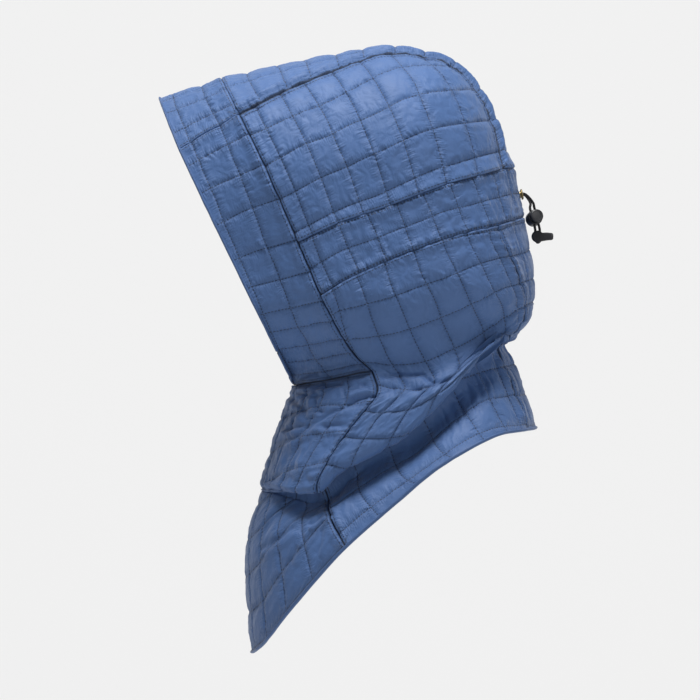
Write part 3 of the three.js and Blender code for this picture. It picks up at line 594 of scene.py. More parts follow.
def pull_in(layer):
    """Moves the border of a grid half a seam gap inwards."""
    for line, inside in ((layer[0], layer[1].copy()), (layer[-1], layer[-2].copy()),
                         (layer[:, 0], layer[:, 1].copy()), (layer[:, -1], layer[:, -2].copy())):
        step = inside - line
        line += unit(step) * np.minimum(length(step) * 0.4, SEAM_GAP / 2)[..., None]


# Lines that neighbouring panels share
front_seam = line_through(FRONT_SEAM)
at_channel_top = share_near(front_seam, CHANNEL_TOP[0])
at_channel_foot = share_near(front_seam, CHANNEL_FOOT[0])
crown_seam = line_through(CROWN_SEAM)
at_corner = share_near(crown_seam, CROWN_SEAM[CORNER_ON_CROWN_SEAM])
rim_side = line_through(RIM_SIDE)
visor_seam_top = line_through(VISOR_SEAM_TOP)
visor_top = line_through(CENTRE_BACK[1:3])
crown_top = line_through(CENTRE_BACK[2:11] + [CHANNEL_TOP[-1]])
channel_top = line_through(CHANNEL_TOP[:6])
channel_foot = line_through(CHANNEL_FOOT[:5])
channel_edge = line_through([CROWN_SEAM[-1], NAPE_SEAM[0]])
channel_back = line_through([CHANNEL_TOP[-1], CHANNEL_FOOT[-1]])
nape_seam = line_through(NAPE_SEAM)
nape_top = line_through([CHANNEL_FOOT[-1], [124, -172], [127.5, -204], NECK_CREASE[-1]])
front_shares = [share_at_y(k, seam_y) for k, (*_, seam_y, _, _) in enumerate(RINGS)]
back_shares = [share_at_y(k, seam_y) for k, (*_, seam_y, _) in enumerate(RINGS)]
crease_front, crease_back = front_shares[0], back_shares[0]


def crease_line(start, end):
    """Side view of the crease ring between two of its angle shares."""
    return lambda share: ring_point(0, start + (end - start) * np.asarray(share, float))[..., 1:]


def grid(columns, rows):
    """Shares u along the columns and v down the rows, both from 0 to 1."""
    return np.meshgrid(np.linspace(0, 1, columns + 1), np.linspace(0, 1, rows + 1))


# Where the stitch lines cross a panel, as shares of it from one border to the other, first line first
VISOR_COLUMNS = [0.19, 0.66]
VISOR_ROWS = [0.075, 0.194, 0.325, 0.475, 0.595, 0.705, 0.78, 0.85, 0.91, 0.96]
CROWN_ROWS = [0.071, 0.159, 0.235, 0.32, 0.396, 0.487, 0.572, 0.659, 0.76, 0.853, 0.95]
UPPER_COLUMNS = [0.076, 0.2, 0.322, 0.449, 0.588, 0.73, 0.88]
UPPER_ROWS = {0: [0.17, 0.41, 0.67, 0.93], 0.33: [0.206, 0.412, 0.659, 0.912],
              0.6: [0.155, 0.38, 0.629, 0.894], 1: [0.07, 0.306, 0.588, 0.86]}
LOWER_COLUMNS = [0.218, 0.369, 0.532, 0.70, 0.834, 0.945]
NECK_COLUMNS = [0.15, 0.32, 0.485, 0.655, 0.80, 0.93]
LOWER_ROWS_FRONT = [0.24, 0.55, 0.86]
LOWER_ROWS_BACK = [0.36, 0.67, 0.98]
CELL = 27  # mm between stitch lines
CHANNEL_CELL = 25
CHANNEL_PUFF = 1.7
BIB_COLUMNS = 5  # from the front seam to the middle
BIB_ROW = 31
CAPE_ROW = 10.05  # row number at the hem
NAPE_ROW = 3.06  # row number at the crease, in the back panel
NAPE_COLUMNS = 1.6  # from the middle to the seam
CROWN_COLUMNS = 2.0
CROWN_COLUMN = 0.278  # distance between two on the visor, as a share of half the arch
STRAY = 0.035  # how far a stitch line strays, in cells

pieces = []


def fit(piece, stands_for, slot, body=BODY):
    """Puts a piece on a body and in a material slot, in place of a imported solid."""
    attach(piece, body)
    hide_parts(stands_for)
    pieces.append((piece, slot))


def cells_at(share, lines):
    """Number of the stitch line at each share, running on past the first and the last."""
    lines = np.asarray(lines, float)
    before = lines[0] - (lines[1] - lines[0]) * np.arange(12, 0, -1)
    after = lines[-1] + (lines[-1] - lines[-2]) * np.arange(1, 13)
    numbers = np.arange(-11, len(lines) + 13)
    return np.interp(share, np.concatenate([before, lines, after]), numbers)


def rows_across(u, v, table):
    """Row numbers from the shares of the lines at a few columns, blended between them."""
    numbers = np.stack([cells_at(v, lines) for lines in table.values()])
    place = np.interp(u, list(table), np.arange(len(table)))
    low = np.clip(place.astype(int), 0, len(table) - 2)
    first, second = (np.take_along_axis(numbers, (low + k)[None], 0)[0] for k in (0, 1))
    return first + (second - first) * (place - low)


def seam_distance(distance, seam):
    """Distance to a border by which the seam's painted shadow and its topstitch are placed."""
    *_, wider, topstitched = seam
    distance = np.maximum(0, distance - wider)
    return distance if topstitched else np.where(distance < 2, distance, distance + 20)


def dress(name, places, a, b, seed, free=None, puff=PUFF, extra=0.0, calm=1.0, seams=None, normal=None,
          lift=None, mirrored=False):
    """One quilted panel in place of the solid of the same name. Its borders are sewn with a plain seam, but
    for the free one and those in seams; calm scales the relief, which goes along lift or the normal."""
    normal = normals_of(places) if normal is None else normal
    lift = normal if lift is None else lift
    borders = border_distance(places)
    sewn = {key: PLAIN_SEAM for key in borders if key != free} | (seams or {})
    a = a + STRAY * noise(a * 1.3 + 5, b * 1.3, seed)
    b = b + STRAY * noise(a * 1.1 + 7, b * 1.1, seed + 1)
    relief = quilting(places, a, b, seed, puff) + sewn_edges(places, sewn, seed)
    relief = np.maximum(LEAST_HEIGHT, relief + fold_relief(places)) * calm + extra
    depth = LINING_DEPTH - np.minimum(0, extra) * np.ones(relief.shape)
    if free:
        full = smooth(borders[free] / EDGE_TAPER)
        relief = relief * (0.25 + 0.75 * full) - 0.6 * (1 - full)
        depth = EDGE_DEPTH + (depth - EDGE_DEPTH) * full
    nearest = np.min([seam_distance(borders[key], sewn.get(key, FREE_EDGE)) for key in borders], axis=0)
    across, down = run_along(places, 1), run_along(places, 0)
    sideways = np.minimum(borders["left"], borders["right"]) < np.minimum(borders["top"], borders["foot"])
    maps = {
        "quilt": np.stack([a, b], -1),
        "spacing": np.stack([step_lengths(places, a, 1), step_lengths(places, b, 0)], -1),
        "run": np.stack([across, down], -1),
        "seam": np.stack([nearest, np.where(sideways, down, across)], -1),
    }
    piece = cloth_mesh(f"{name}_cloth", places, normal, lift, relief, depth, maps, mirrored)
    fit(piece, name, "shell")


def dress_both(name, places, a, b, seed, **options):
    """The left panel, and the right one as its mirror with puckers of its own."""
    dress(f"{name}_left", places, a, b, seed, **options)
    dress(f"{name}_right", places.copy(), a, b, seed + 50, mirrored=True, **options)


# Visor band
u, v = grid(190, 50)
visor_crown = on_arch(visor_top(v), visor_seam_top(v), 1 - 2 * u)
dress("visor_crown", visor_crown, (2 * u - 1) / CROWN_COLUMN, cells_at(v, VISOR_COLUMNS), 11, free="top",
      seams={"left": FLAT_SEAM, "right": FLAT_SEAM, "foot": FLAT_SEAM})
u, v = grid(60, 250)
side_view = panel(visor_seam_top, crease_line(0, crease_front), rim_side, front_seam)(u, v)
visor_side = on_head(side_view)
dress_both("visor_side", visor_side, cells_at(u, VISOR_COLUMNS), cells_at(v, VISOR_ROWS), 21, free="left",
           seams={"top": FLAT_SEAM, "right": VISOR_SEAM}, normal=shared_normals(visor_side, "foot"))

# Crown panel and upper sides
u, v = grid(146, 262)
crown = on_arch(crown_top(v), crown_seam(v), 1 - 2 * u)
dress("crown_panel", crown, (2 * u - 1) * CROWN_COLUMNS, cells_at(v, CROWN_ROWS), 31,
      seams={"left": CROWN_SEAM_ROLL, "right": CROWN_SEAM_ROLL, "top": FLAT_SEAM, "foot": FLAT_SEAM})
u, v = grid(212, 134)
side_view = panel(stretch(crown_seam, 0, at_corner), channel_top, stretch(front_seam, 0, at_channel_top),
                  stretch(crown_seam, at_corner, 1))(u, v)
rows = rows_across(u, v, UPPER_ROWS)
upper_side = on_head(side_view)
borders = border_distance(upper_side)
sideways = 0.65 * bell(np.minimum(borders["top"], borders["right"]), 32)
lift = turned(normals_of(upper_side), np.array([1, 0, 0]), sideways)
dress_both("upper_side", upper_side, cells_at(u, UPPER_COLUMNS), rows, 41, lift=lift,
           seams={"top": CROWN_SEAM_SIDE, "right": CROWN_SEAM_SIDE, "foot": FLAT_SEAM, "left": VISOR_SEAM})

# Cord channel: sides up to the crown seam and the nape seam, then an arch over the back
u, v = grid(190, 42)
channel_front = stretch(front_seam, at_channel_top, at_channel_foot)
left = on_head(panel(channel_top, channel_foot, channel_front, channel_edge)(u, v))
u, v = grid(74, 42)
back = on_arch(channel_back(v), channel_edge(v), 1 - 2 * u)
right = left[:, ::-1] * MIRROR
channel = np.concatenate([left[:, :-1], back, right[:, 1:]], axis=1)
b = np.broadcast_to(np.linspace(-0.06, 2.06, 43)[:, None], channel.shape[:2])
run = run_along(channel, 1)
half = run[:, -1:] / 2
a = 0.5 + (half - np.abs(run - half)) / CHANNEL_CELL
gathered = 0.8 * creased(run / 8, b * 0.7, 51) * np.sin(np.pi * np.clip(b / 2, 0, 1)) ** 0.5
dress("cord_channel", channel, a, b, 52, puff=CHANNEL_PUFF, extra=gathered,
      seams={"top": FLAT_SEAM, "foot": FLAT_SEAM})

# Neck and cape
LOWER_STEPS = 220
HEAD_STEPS = 114
SIDE_STEPS = 186
u, v = grid(SIDE_STEPS, HEAD_STEPS)
lower_front = stretch(front_seam, at_channel_foot, 1)
upper = on_head(panel(channel_foot, crease_line(crease_front, crease_back), lower_front, nape_seam)(u, v))
height = np.linspace(0, HEM, LOWER_STEPS + 1)[:, None]


def lower_grid(start, end, columns):
    """Neck and cape between two seams, given as shares per ring; heights run down the rows."""
    u = np.linspace(0, 1, columns + 1)[None, :]
    v = np.broadcast_to(height, (LOWER_STEPS + 1, columns + 1))
    first, last = between(start, v), between(end, v)
    return lower_point(first + (last - first) * u, v), v


def down_from(places, row):
    """Signed distance down the grid's columns from one of its rows, mm."""
    run = run_along(places, 0)
    return run - run[row]


def lower_rows(places, v, cell=CELL):
    """Row numbers: one to a cell's length below the crease, and above the hem."""
    return np.where(v < 4, down_from(places, 0) / cell, down_from(places, -1) / cell + CAPE_ROW)


def eased(places, strength, passes):
    """Repeated averages of three rows, by a strength given per place."""
    out = places.copy()
    for _ in range(passes):
        out[1:-1] += ((out[:-2] + out[2:]) / 2 - out[1:-1]) * strength[1:-1, :, None]
    return out


EASED_ABOVE = 26  # mm above the crease from which the cloth runs straight to the roll's crest, at the back
CREASE_PASSES = 520
FOLD_PASSES = 92


def ease_crease(places):
    """Lets the cloth run straight over the crease at the back."""
    run = down_from(places, HEAD_STEPS)
    heights = np.concatenate([np.zeros(HEAD_STEPS), np.linspace(0, HEM, LOWER_STEPS + 1)])[:, None]
    crease_y = places[HEAD_STEPS, :, 1]
    end = 2.1 + 0.75 * smooth((crease_y - 40) / 50)
    window = smooth((run + EASED_ABOVE) / 14) * smooth((end - heights) / 0.4)
    return eased(places, window * smooth((crease_y - 30) / 35), CREASE_PASSES)


def hang(v):
    """The roll hangs out over the recess, and the cape's top lies further in."""
    return 5.5 * bell(v - 2.85, 0.5), -12 * bell(v - 4.8, 0.8)


def gathers(run, v, seed):
    """Ridges down the cloth where elastic gathers it, in the recess under the fold."""
    strength = smooth((v - 2.7) / 0.6) * smooth((6.1 - v) / 1.1)
    return 2.0 * strength * creased(run / 5.5, v * 0.35, seed)


def calmed(v):
    """Share of the relief that is left where the wall turns back on itself under the fold."""
    return 1 - 0.8 * bell(v - 4, 0.6)


def with_border(places, own, border, shared):
    """Normals of a grid that turn into the shared ones, given per row, near its left or right border."""
    return turned(own, shared[:, None], bell(border_distance(places)[border], 8))


NAPE_STEPS = 92
BIB_STEPS = 260
lower, lower_v = lower_grid(front_shares, back_shares, SIDE_STEPS)
side = ease_crease(np.concatenate([upper[:-1], lower]))
across = np.linspace(-1, 1, NAPE_STEPS + 1)
head_v = v[:, :NAPE_STEPS + 1]
nape_upper = on_arch(nape_top(head_v), nape_seam(head_v), -across[None, :])
nape_lower, nape_v = lower_grid(back_shares, [2 - share for share in back_shares], NAPE_STEPS)
nape = ease_crease(np.concatenate([nape_upper[:-1], nape_lower]))
bib, bib_v = lower_grid([-share for share in front_shares], front_shares, BIB_STEPS)
bib = eased(bib, np.exp(-(((bib_v - 4) / 0.8) ** 4)), FOLD_PASSES)

# Normals that the panels share along the front seam and the nape seam
side_normal, nape_normal = normals_of(side), normals_of(nape)
bib_normal = shared_normals(bib, "top")
below_crease = unit(side_normal[HEAD_STEPS:, 0] + bib_normal[:, -1])
at_front = np.concatenate([side_normal[:HEAD_STEPS, 0], below_crease])
at_nape = unit(side_normal[:, -1] + nape_normal[:, 0])
side_normal = with_border(side, with_border(side, side_normal, "left", at_front), "right", at_nape)
nape_normal = with_border(nape, nape_normal, "left", at_nape)
nape_normal = with_border(nape, nape_normal, "right", at_nape * MIRROR)
bib_normal = with_border(bib, bib_normal, "right", below_crease)
bib_normal = with_border(bib, bib_normal, "left", below_crease * MIRROR)

u = np.broadcast_to(np.linspace(0, 1, SIDE_STEPS + 1), side.shape[:2])
down = np.concatenate([v[:-1], np.ones(lower_v.shape)])
columns = (1 - down) * cells_at(u, LOWER_COLUMNS) + down * cells_at(u, NECK_COLUMNS)
head_rows = (1 - u) * cells_at(down, LOWER_ROWS_FRONT) + u * cells_at(down, LOWER_ROWS_BACK)
rows = np.concatenate([head_rows[:HEAD_STEPS], head_rows[HEAD_STEPS] + lower_rows(lower, lower_v)])
side_v = np.concatenate([np.zeros(v[:-1].shape), lower_v])
side_y = side[..., 1]
overhang, hollow = hang(side_v)
to_front_seam = smooth((35 - side_y) / 65)
hanging = overhang * (0.3 + 0.7 * to_front_seam) + hollow * (0.6 + 0.4 * to_front_seam)
recess = gathers(run_along(side, 1), side_v, 68) * smooth((side_y - 20) / 60)
recess += hanging * smooth((95 - side_y) / 40)
dress_both("lower_side", side, columns, rows, 61, free="foot", extra=recess, calm=calmed(side_v),
           seams={"top": FLAT_SEAM}, normal=side_normal)

rows = np.concatenate([cells_at(head_v, LOWER_ROWS_BACK)[:-1], NAPE_ROW + lower_rows(nape_lower, nape_v)])
nape_v = np.concatenate([np.zeros((HEAD_STEPS, NAPE_STEPS + 1)), nape_v])
dress("nape_back", nape, np.broadcast_to(NAPE_COLUMNS * across, nape.shape[:2]), rows, 71, free="foot",
      extra=gathers(run_along(nape, 1), nape_v, 78), calm=calmed(nape_v), seams={"top": FLAT_SEAM},
      normal=nape_normal)

from_middle = np.abs(np.linspace(-1, 1, BIB_STEPS + 1))
columns = np.broadcast_to(BIB_COLUMNS * (1 - from_middle), bib.shape[:2])
crumples = 0.9 * creased(run_along(bib, 1) / 13, run_along(bib, 0) / 8, 85) * smooth((3.2 - bib_v) / 0.8)
hanging = sum(hang(bib_v)) * smooth((bib[..., 1] + 100) / 40)
dress("bib", bib, columns, lower_rows(bib, bib_v, BIB_ROW), 81, free="foot", extra=crumples + hanging,
      calm=calmed(bib_v), normal=bib_normal)


# Folded edges of the rim and the hem
EDGE_DROP = 1.3  # how far an edge lies below the border's surface, mm
EDGE_SIDES = 14


def ring_faces(rows, sides, closed=False):
    """Quads between rings of places with a cap at both ends, or from the last ring on to the first."""
    n = np.arange(rows * sides).reshape(rows, sides)
    after = np.roll(n, -1, axis=0)
    quads = np.stack([n, np.roll(n, -1, 1), np.roll(after, -1, 1), after], -1)
    if closed:
        return [quads.reshape(-1, 4)]
    return [quads[:-1].reshape(-1, 4), n[:1, ::-1], n[-1:]]


def tube(name, centres, across, away, thick, proud, sides, closed=False):
    """Ellipse carried along a line. UV is the share round the ellipse and the distance along the line, mm."""
    angle = np.linspace(0, 2 * np.pi, sides, endpoint=False)
    ring = (across[:, None] * (thick / 2 * np.cos(angle))[None, :, None]
            + away[:, None] * (proud / 2 * np.sin(angle))[None, :, None])
    blocks = ring_faces(len(centres), sides, closed)
    piece = smooth_piece(name, centres[:, None] + ring, blocks)
    uv = np.stack(np.broadcast_arrays(np.linspace(0, 1, sides)[None, :], run_of(centres)[:, None]), -1)
    add_uv(piece, "along", uv.reshape(-1, 2), blocks)
    return piece


def border(places, line=-1):
    """Places and normals along one border line of a grid of places."""
    return np.stack([places[line], normals_of(places)[line]])


def joined(*parts):
    """Border lines end to end, each without its last place, which is the next one's first."""
    return np.concatenate([part[:, :-1] for part in parts], axis=1)


def edging(name, line, thick, proud, seed):
    """Closed rolled edge beside a border line: an ellipse a little in front of it, with slight waves."""
    centre, normal = line
    away = unit(np.cross(normal, np.roll(centre, -1, axis=0) - np.roll(centre, 1, axis=0)))
    run = run_of(centre)
    waves = 0.35 * noise(run / 9, run * 0 + 3, seed)[:, None]
    middle = centre + normal * (waves - EDGE_DROP) + away * (proud / 2 - 0.9 + waves * 0.4)
    fit(tube(f"{name}_cloth", middle, normal, away, thick, proud, EDGE_SIDES, True), name, "edging")


rim_down = border(visor_side, (slice(None), 0))
edging("rim_edge", joined(rim_down[:, ::-1], border(visor_crown, 0), rim_down * MIRROR), 3.8, 2.4, 91)
hem_side = border(side)
hem = joined(border(bib), hem_side, border(nape), hem_side[:, ::-1] * MIRROR)
edging("hem_edge", hem[:, ::-1], 3.6, 2.6, 92)

# Eyelets, cord lock, cord end and cords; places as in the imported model, mm
EYELET_AXIS = unit(np.array([0, 0.98, 0.198]))
EYELET_PLACE = np.array([7, 114.1, -120.7])
LOCK_CENTRE = np.array([0, 127.2, -140])
LOCK_AXIS = unit(np.array([0.96, 0.2, 0.2]))
END_CENTRE = np.array([0, 129.6, -156])
CORD_DIAMETER = 2.2
CORD_SIDES = 16
CORD_SPACING = 3.8
strand_way = np.array([0, 0.2, -0.98])
strand_way = unit(strand_way - LOCK_AXIS * (strand_way @ LOCK_AXIS))
apart = np.cross(LOCK_AXIS, strand_way)


def lathe(name, profile, centre, axis, sides):
    """Profile of radius and height turned round an axis through the centre."""
    helper = np.array([0, 0, 1.0]) if abs(axis[2]) < 0.9 else np.array([0, 1.0, 0])
    first = unit(np.cross(helper, axis))
    second = np.cross(axis, first)
    angle = np.linspace(0, 2 * np.pi, sides, endpoint=False)
    radius, height = np.asarray(profile, float).T
    around = first[None] * np.cos(angle)[:, None] + second[None] * np.sin(angle)[:, None]
    points = centre + axis * height[:, None, None] + around[None] * radius[:, None, None]
    return smooth_piece(name, points, ring_faces(len(profile), sides))


def rounded_profile(corners, radius, steps=4):
    """Profile with each inner corner turned into a quadratic curve from before it to after it."""
    p = np.asarray(corners, float)
    out = [p[:1]]
    t = np.linspace(0, 1, steps + 1)[:, None]
    for before, corner, after in zip(p[:-2], p[1:-1], p[2:]):
        r = min(radius, *(length(near - corner) * 0.45 for near in (before, after)))
        start, end = (corner + unit(near - corner) * r for near in (before, after))
        out.append((1 - t) ** 2 * start + 2 * t * (1 - t) * corner + t**2 * end)
    return np.concatenate(out + [p[-1:]])


eyelet = rounded_profile([[1.7, -7.2], [2.7, -7.2], [2.7, 1.7], [4.5, 1.7], [4.5, 2.6], [2.9, 3.1],
                          [1.7, 2.4], [1.7, -7.0]], 0.45)
for name, way in (("eyelet_left", 1), ("eyelet_right", -1)):
    fit(lathe(f"{name}_ring", eyelet, EYELET_PLACE * [way, 1, 1], EYELET_AXIS, 48), name, "eyelet")
barrel = rounded_profile([[0.01, -7.8], [5.4, -7.8], [6.5, -6.6], [6.5, 2.4], [5.9, 3.5], [4.9, 3.5],
                          [4.9, 1.5], [0.01, 1.5]], 0.5)
fit(lathe("cord_lock_barrel", barrel, LOCK_CENTRE, LOCK_AXIS, 64), "cord_lock_body", "lock")
button = rounded_profile([[0.01, -1.0], [4.4, -1.0], [4.4, 6.2], [5.6, 6.4], [5.8, 7.2], [5.5, 8.3],
                          [4.3, 8.9], [3.2, 8.6], [0.01, 8.5]], 0.5)
fit(lathe("cord_lock_cap", button, LOCK_CENTRE, LOCK_AXIS, 64), "cord_lock_button", "lock", "lock_button")


def cord_path(way):
    """Points of a strand from inside the channel through eyelet and lock into the cord end, mm."""
    strand = LOCK_CENTRE + apart * (CORD_SPACING / 2 * way)
    place = EYELET_PLACE * [way, 1, 1]
    foot = END_CENTRE + [0, CORD_SPACING / 2 * np.sign(apart[1]) * way, 0]
    points = [place - EYELET_AXIS * 6.5, place - EYELET_AXIS, place + EYELET_AXIS * 4,
              (place + strand) / 2 + [0, 4, 3], strand - strand_way * 9, strand, strand + strand_way * 8,
              foot + [0, 0, 5.6], foot + [0, 0, 0.7]]
    return line_through(points)(np.linspace(0, 1, 33))


def tab(name):
    """Flat tab: an outline with a round head and a taper, its two rims drawn in."""
    angle = np.linspace(0.7, 2 * np.pi - 1.9, 26)
    head = np.stack([5.1 * np.cos(angle), 5.1 * np.sin(angle)], 1)
    bump = np.array([[-1.2, -5.6], [-0.4, -6.2], [1.2, -6.1], [2.4, -5.2], [3.3, -4.2]])
    taper = np.array([[8, -3.4], [12.3, -3.0], [13.3, -2.2], [13.5, 0], [13.3, 2.2], [12.3, 3.0], [8, 3.45]])
    outline = np.concatenate([head, bump, taper])
    middle = np.array([4.0, 0])
    half = [(1.2, 1), (2.1, 0.97), (2.6, 0.9), (2.7, 0.8)]
    layers = [(-x, s) for x, s in half[::-1]] + half
    points = [np.column_stack([np.full(len(outline), x), middle + (outline - middle) * s]) for x, s in layers]
    return smooth_piece(name, np.concatenate(points) + END_CENTRE, ring_faces(len(layers), len(outline)))


cord_end = tab("cord_end_tab")
fit(cord_end, "cord_end", "lock")
for name, way in (("cord_left", 1), ("cord_right", -1)):
    path = cord_path(way)
    tangent = unit(np.gradient(path, axis=0))
    across = unit(np.cross(tangent, np.array([1.0, 0.02, 0.01])))
    other = np.cross(tangent, across)
    cord = tube(f"{name}_elastic", path, across, other, CORD_DIAMETER, CORD_DIAMETER, CORD_SIDES)
    fit(cord, name, "cord")
    run = float(length(np.diff(path, axis=0)).sum()) * MM


# Materials
def node_tree(name):
    """A material with its node tree and its Principled shader."""
    material = bpy.data.materials.new(name)
    material.use_nodes = True
    return material, material.node_tree, material.node_tree.nodes["Principled BSDF"]


def node(tree, kind, output, inputs, **settings):
    """Output of a new shader node."""
    made = tree.nodes.new(f"ShaderNode{kind}")
    for key, value in settings.items():
        setattr(made, key, value)
    feed(tree, made, inputs)
    return made.outputs[output]


def feed(tree, target, inputs):
    """Feeds a node's inputs, named or numbered, with sockets or values."""
    for key, value in inputs.items():
        if isinstance(value, bpy.types.NodeSocket):
            tree.links.new(value, target.inputs[key])
        else:
            target.inputs[key].default_value = value


def scaled(colour, share):
    """Colour times a share, at most 1."""
    return tuple(min(1, share * c) for c in colour)


def plain_material(name, colour, roughness, grain_scale, bump, metallic=0.0):
    """Moulded or metal finish: fine noise in tone, roughness and bump, at a scale per metre."""
    material, tree, shader = node_tree(name)
    grain = noise_node(tree, grain_scale, 4)
    tone = mixed(tree, grain, scaled(colour, 0.8), scaled(colour, 1.3))
    ends = {"To Min": roughness - 0.08, "To Max": roughness + 0.1}
    gloss = node(tree, "MapRange", "Result", {"Value": grain, **ends})
    feed(tree, shader, {"Base Color": tone, "Roughness": gloss, "Metallic": metallic,
                        "Normal": bumped(tree, grain, bump, 0.0002)})
    return material


def noise_node(tree, scale, detail, distortion=0.0, stretch=None):
    """Noise over the object's own coordinates, in cells per metre."""
    place = node(tree, "TexCoord", "Object", {})
    if stretch:
        drawn_out = {"Scale": stretch, "Rotation": (0.6, 0.2, 0.4)}
        place = node(tree, "Mapping", "Vector", {"Vector": place, **drawn_out})
    return node(tree, "TexNoise", "Fac", {"Vector": place, "Scale": scale, "Detail": detail,
                                          "Distortion": distortion})


def math_node(tree, operation, *values):
    """A sum of the tree's sockets and numbers."""
    return node(tree, "Math", "Value", dict(enumerate(values)), operation=operation)


def times(tree, first, second):
    """Product of two sockets or numbers."""
    return math_node(tree, "MULTIPLY", first, second)


def off_value(tree, value, middle):
    """How far a value is off a middle one."""
    return math_node(tree, "ABSOLUTE", math_node(tree, "SUBTRACT", value, middle))


def fall_off(tree, value, start, end):
    """1 below the start and 0 above the end."""
    inputs = {"Value": value, "From Min": start, "From Max": end, "To Min": 1, "To Max": 0}
    return node(tree, "MapRange", "Result", inputs, interpolation_type="SMOOTHSTEP")


def mixed(tree, factor, first, second):
    """Colour between two, each a socket or three numbers."""
    ends = [(*value, 1) if isinstance(value, tuple) else value for value in (first, second)]
    return node(tree, "Mix", "Result", {"Factor": factor, "A": ends[0], "B": ends[1]}, data_type="RGBA")


def bumped(tree, height, strength, distance, below=None):
    """Normal bent by a height, on top of another bump's normal."""
    inputs = {"Height": height, "Strength": strength, "Distance": distance}
    if below is not None:
        inputs["Normal"] = below
    return node(tree, "Bump", "Normal", inputs)


STITCH_LENGTH = 2.9  # mm of thread and gap
THREAD_HALF = 0.38
THREAD_GAP = 0.42  # share of a stitch without thread
TOPSTITCH = 2.9  # mm from a seam
PUCKER_FINE = 1.1  # mm between the fine puckers that cross a stitch line
PUCKER_LONG = 7.0


def hatch(tree, fine, coarse, near, seed):
    """Height of fine puckers that cross a line, weighted by nearness."""
    place = node(tree, "CombineXYZ", "Vector", {
        "X": times(tree, fine, 1 / PUCKER_FINE), "Y": times(tree, coarse, 1 / PUCKER_LONG), "Z": seed})
    return times(tree, node(tree, "TexNoise", "Fac", {"Vector": place, "Scale": 1, "Detail": 2}), near)


def stitch_group():
    """Masks of the sewing: Thread is 1 on the dashes; Line along the whole stitch lines and Seam in the
    seams, both for painted shade in their grooves. Puckers is the height of the fine puckers across all of
    them."""
    group = bpy.data.node_groups.new("stitches", "ShaderNodeTree")
    for in_out, kind, sockets in (("INPUT", "Vector", ("Quilt", "Spacing", "Run", "Seam")),
                                  ("OUTPUT", "Float", ("Thread", "Line", "Seam", "Puckers"))):
        for socket in sockets:
            group.interface.new_socket(socket, in_out=in_out, socket_type=f"NodeSocket{kind}")
    ends = group.nodes.new("NodeGroupInput")
    out = group.nodes.new("NodeGroupOutput")
    quilt, spacing, run, seam = (
        {axis: node(group, "SeparateXYZ", axis, {"Vector": ends.outputs[socket]}) for axis in "XY"}
        for socket in ("Quilt", "Spacing", "Run", "Seam"))
    threads, lines, puckers = [], [], []

    def sew(off, along, line_end):
        """Adds the dashes of a line of thread, and the line that they lie in."""
        dashes = math_node(group, "GREATER_THAN", math_node(group, "FRACT", math_node(
            group, "DIVIDE", along, STITCH_LENGTH)), THREAD_GAP)
        threads.append(times(group, fall_off(group, off, THREAD_HALF * 0.6, THREAD_HALF * 1.5), dashes))
        lines.append(fall_off(group, off, 0.3, line_end))

    for across, along, seed in (("X", "Y", 2.0), ("Y", "X", 3.0)):
        off = times(group, math_node(group, "PINGPONG", quilt[across], 0.5), spacing[across])
        sew(off, run[along], 1.7)
        puckers.append(hatch(group, run[along], run[across], fall_off(group, off, 1, 10), seed))
    sew(off_value(group, seam["X"], TOPSTITCH), seam["Y"], 1.0)
    puckers.append(hatch(group, seam["Y"], seam["X"], fall_off(group, seam["X"], 2, 12), 7.0))
    for socket, operation, (first, *others) in (("Puckers", "ADD", puckers), ("Thread", "MAXIMUM", threads),
                                                ("Line", "MAXIMUM", lines)):
        for other in others:
            first = math_node(group, operation, first, other)
        group.links.new(first, out.inputs[socket])
    group.links.new(fall_off(group, seam["X"], 0.3, 1.1), out.inputs["Seam"])
    return group


def cloth_relief(tree, puckers=None):
    """Normal of crumpled thin nylon: coarse and fine creases, puckers and the weave."""
    normal = bumped(tree, off_value(tree, noise_node(tree, 95, 3, 0.7), 0.5), 0.27, 0.0034)
    fine = off_value(tree, noise_node(tree, 320, 3, 0.4, (1, 1.6, 0.7)), 0.5)
    normal = bumped(tree, fine, 0.3, 0.0013, normal)
    if puckers is not None:
        normal = bumped(tree, puckers, 0.8, 0.0016, normal)
    return bumped(tree, noise_node(tree, 2200, 2), 0.12, 0.0002, normal)


def cloth_colour(tree, colour):
    """Dyed nylon: its colour drifts softly over some centimetres and is uneven in the weave."""
    tone = mixed(tree, noise_node(tree, 30, 3), scaled(colour, 0.9), scaled(colour, 1.1))
    return mixed(tree, times(tree, noise_node(tree, 1500, 2), 0.25), tone, scaled(colour, 1.5))


def nylon_material(name):
    """Material with the gloss of thin nylon: soft, and whitish where it is seen at a low angle."""
    material, tree, shader = node_tree(name)
    feed(tree, shader, {"Roughness": 0.6, "Specular IOR Level": 0.4, "Sheen Weight": 0.14,
                        "Sheen Roughness": 0.4})
    return material, tree, shader


def shell_material(name, colour, thread):
    """Quilted nylon: painted shade along the stitch lines and in the seams, where stitches draw it in, with
    dashes of thread, plain on the lining side.
    """
    material, tree, shader = nylon_material(name)
    sewing = tree.nodes.new("ShaderNodeGroup")
    sewing.node_tree = stitch_group()
    feed(tree, sewing, {key.capitalize(): node(tree, "UVMap", "UV", {}, uv_map=key)
                        for key in ("quilt", "spacing", "run", "seam")})
    outside = node(tree, "Attribute", "Fac", {}, attribute_name="outside")
    # Painted shade: stitch lines and seams darken the outside towards 0.3 of the colour, standing in for the
    # shade in their grooves.
    painted_groove_shade = math_node(tree, "MAXIMUM", times(tree, sewing.outputs["Line"], 0.13), sewing.outputs["Seam"])
    base = mixed(tree, times(tree, painted_groove_shade, outside), cloth_colour(tree, colour), scaled(colour, 0.3))
    sewn = times(tree, times(tree, sewing.outputs["Thread"], 0.85), outside)
    puckers = times(tree, sewing.outputs["Puckers"], outside)
    feed(tree, shader, {"Base Color": mixed(tree, sewn, base, thread), "Normal": cloth_relief(tree, puckers)})
    return material


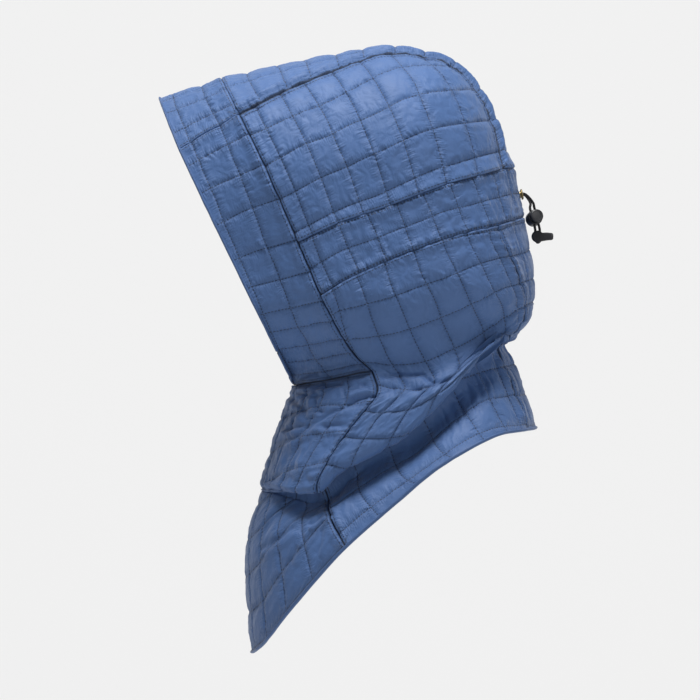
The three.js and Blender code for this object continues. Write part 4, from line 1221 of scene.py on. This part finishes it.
def plain_cloth_material(name, colour):
    """The same nylon without quilting, for the folded edges."""
    material, tree, shader = nylon_material(name)
    feed(tree, shader, {"Base Color": cloth_colour(tree, colour), "Normal": cloth_relief(tree)})
    return material


SHELL = (0.057, 0.121, 0.286)
MATERIALS = {
    "shell": shell_material("quilted_shell", SHELL, scaled(SHELL, 0.16)),
    # Painted shade: the folded edges take the shell's nylon at 0.8 of its colour, for the shade where the
    # edge turns under.
    "edging": plain_cloth_material("folded_edge", scaled(SHELL, 0.8)),
    "lock": plain_material("black_plastic", (0.012, 0.013, 0.017), 0.38, 900, 0.15),
    "eyelet": plain_material("dull_brass", (0.24, 0.18, 0.08), 0.35, 600, 0.1, 1.0),
    "cord": plain_material("black_elastic", (0.010, 0.010, 0.012), 0.85, 2600, 0.8),
}
for piece, slot in pieces:
    piece.data.materials.append(MATERIALS[slot])

# Ground that runs up into a backdrop, and lights
GROUND = (0.2, 0.2, 0.2)
GROUND_GLOW = 0.7
WORLD_LIGHT = 0.19
FLOOR = -1100  # height, mm
FLOOR_LINES = 60
swept = [[-3000, FLOOR], [900, FLOOR], [1150, FLOOR + 20], [1350, FLOOR + 100], [1500, FLOOR + 300],
         [1550, FLOOR + 600], [1600, 2400]]
away, up = line_through(swept, 400)(np.linspace(0, 1, FLOOR_LINES)).T[..., None]
points = np.stack(np.broadcast_arrays(-away - 250, [[-4000.0, 4000.0]], up), -1)
n = np.arange(2 * FLOOR_LINES).reshape(FLOOR_LINES, 2)
floor = smooth_piece("studio_floor", points, [quad_faces(n)[:, ::-1]])
material, tree, shader = node_tree("pale_ground")
feed(tree, shader, {"Base Color": (*GROUND, 1), "Roughness": 0.9, "Emission Color": (1, 1, 1, 1),
                    "Emission Strength": GROUND_GLOW})
floor.data.materials.append(material)
floor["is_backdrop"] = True

world = bpy.data.worlds.new("studio")
bpy.context.scene.world = world
world.use_nodes = True
feed(world.node_tree, world.node_tree.nodes["Background"], {"Color": (1, 1, 1, 1), "Strength": WORLD_LIGHT})
bpy.context.scene.view_settings.view_transform = "Standard"


def area_light(name, place, target, size, power):
    """Square soft light at a place, in metres, turned to a target."""
    data = bpy.data.lights.new(name, "AREA")
    data.energy = power
    data.size = size
    light = linked(name, data)
    light.location = place
    light.rotation_euler = (Vector(target) - Vector(place)).to_track_quat("-Z", "Y").to_euler()


MIDDLE = (0, -0.02, -0.2)
area_light("top_light", (0.5, -0.12, 1.5), MIDDLE, 0.6, 42)
area_light("side_light", (2.2, 1.7, 0.45), MIDDLE, 1.0, 15.5)

sizes = {"cad": [list(map(float, corner)) for corner in cad_box],
         "visual": [list(map(float, corner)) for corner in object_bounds()]}
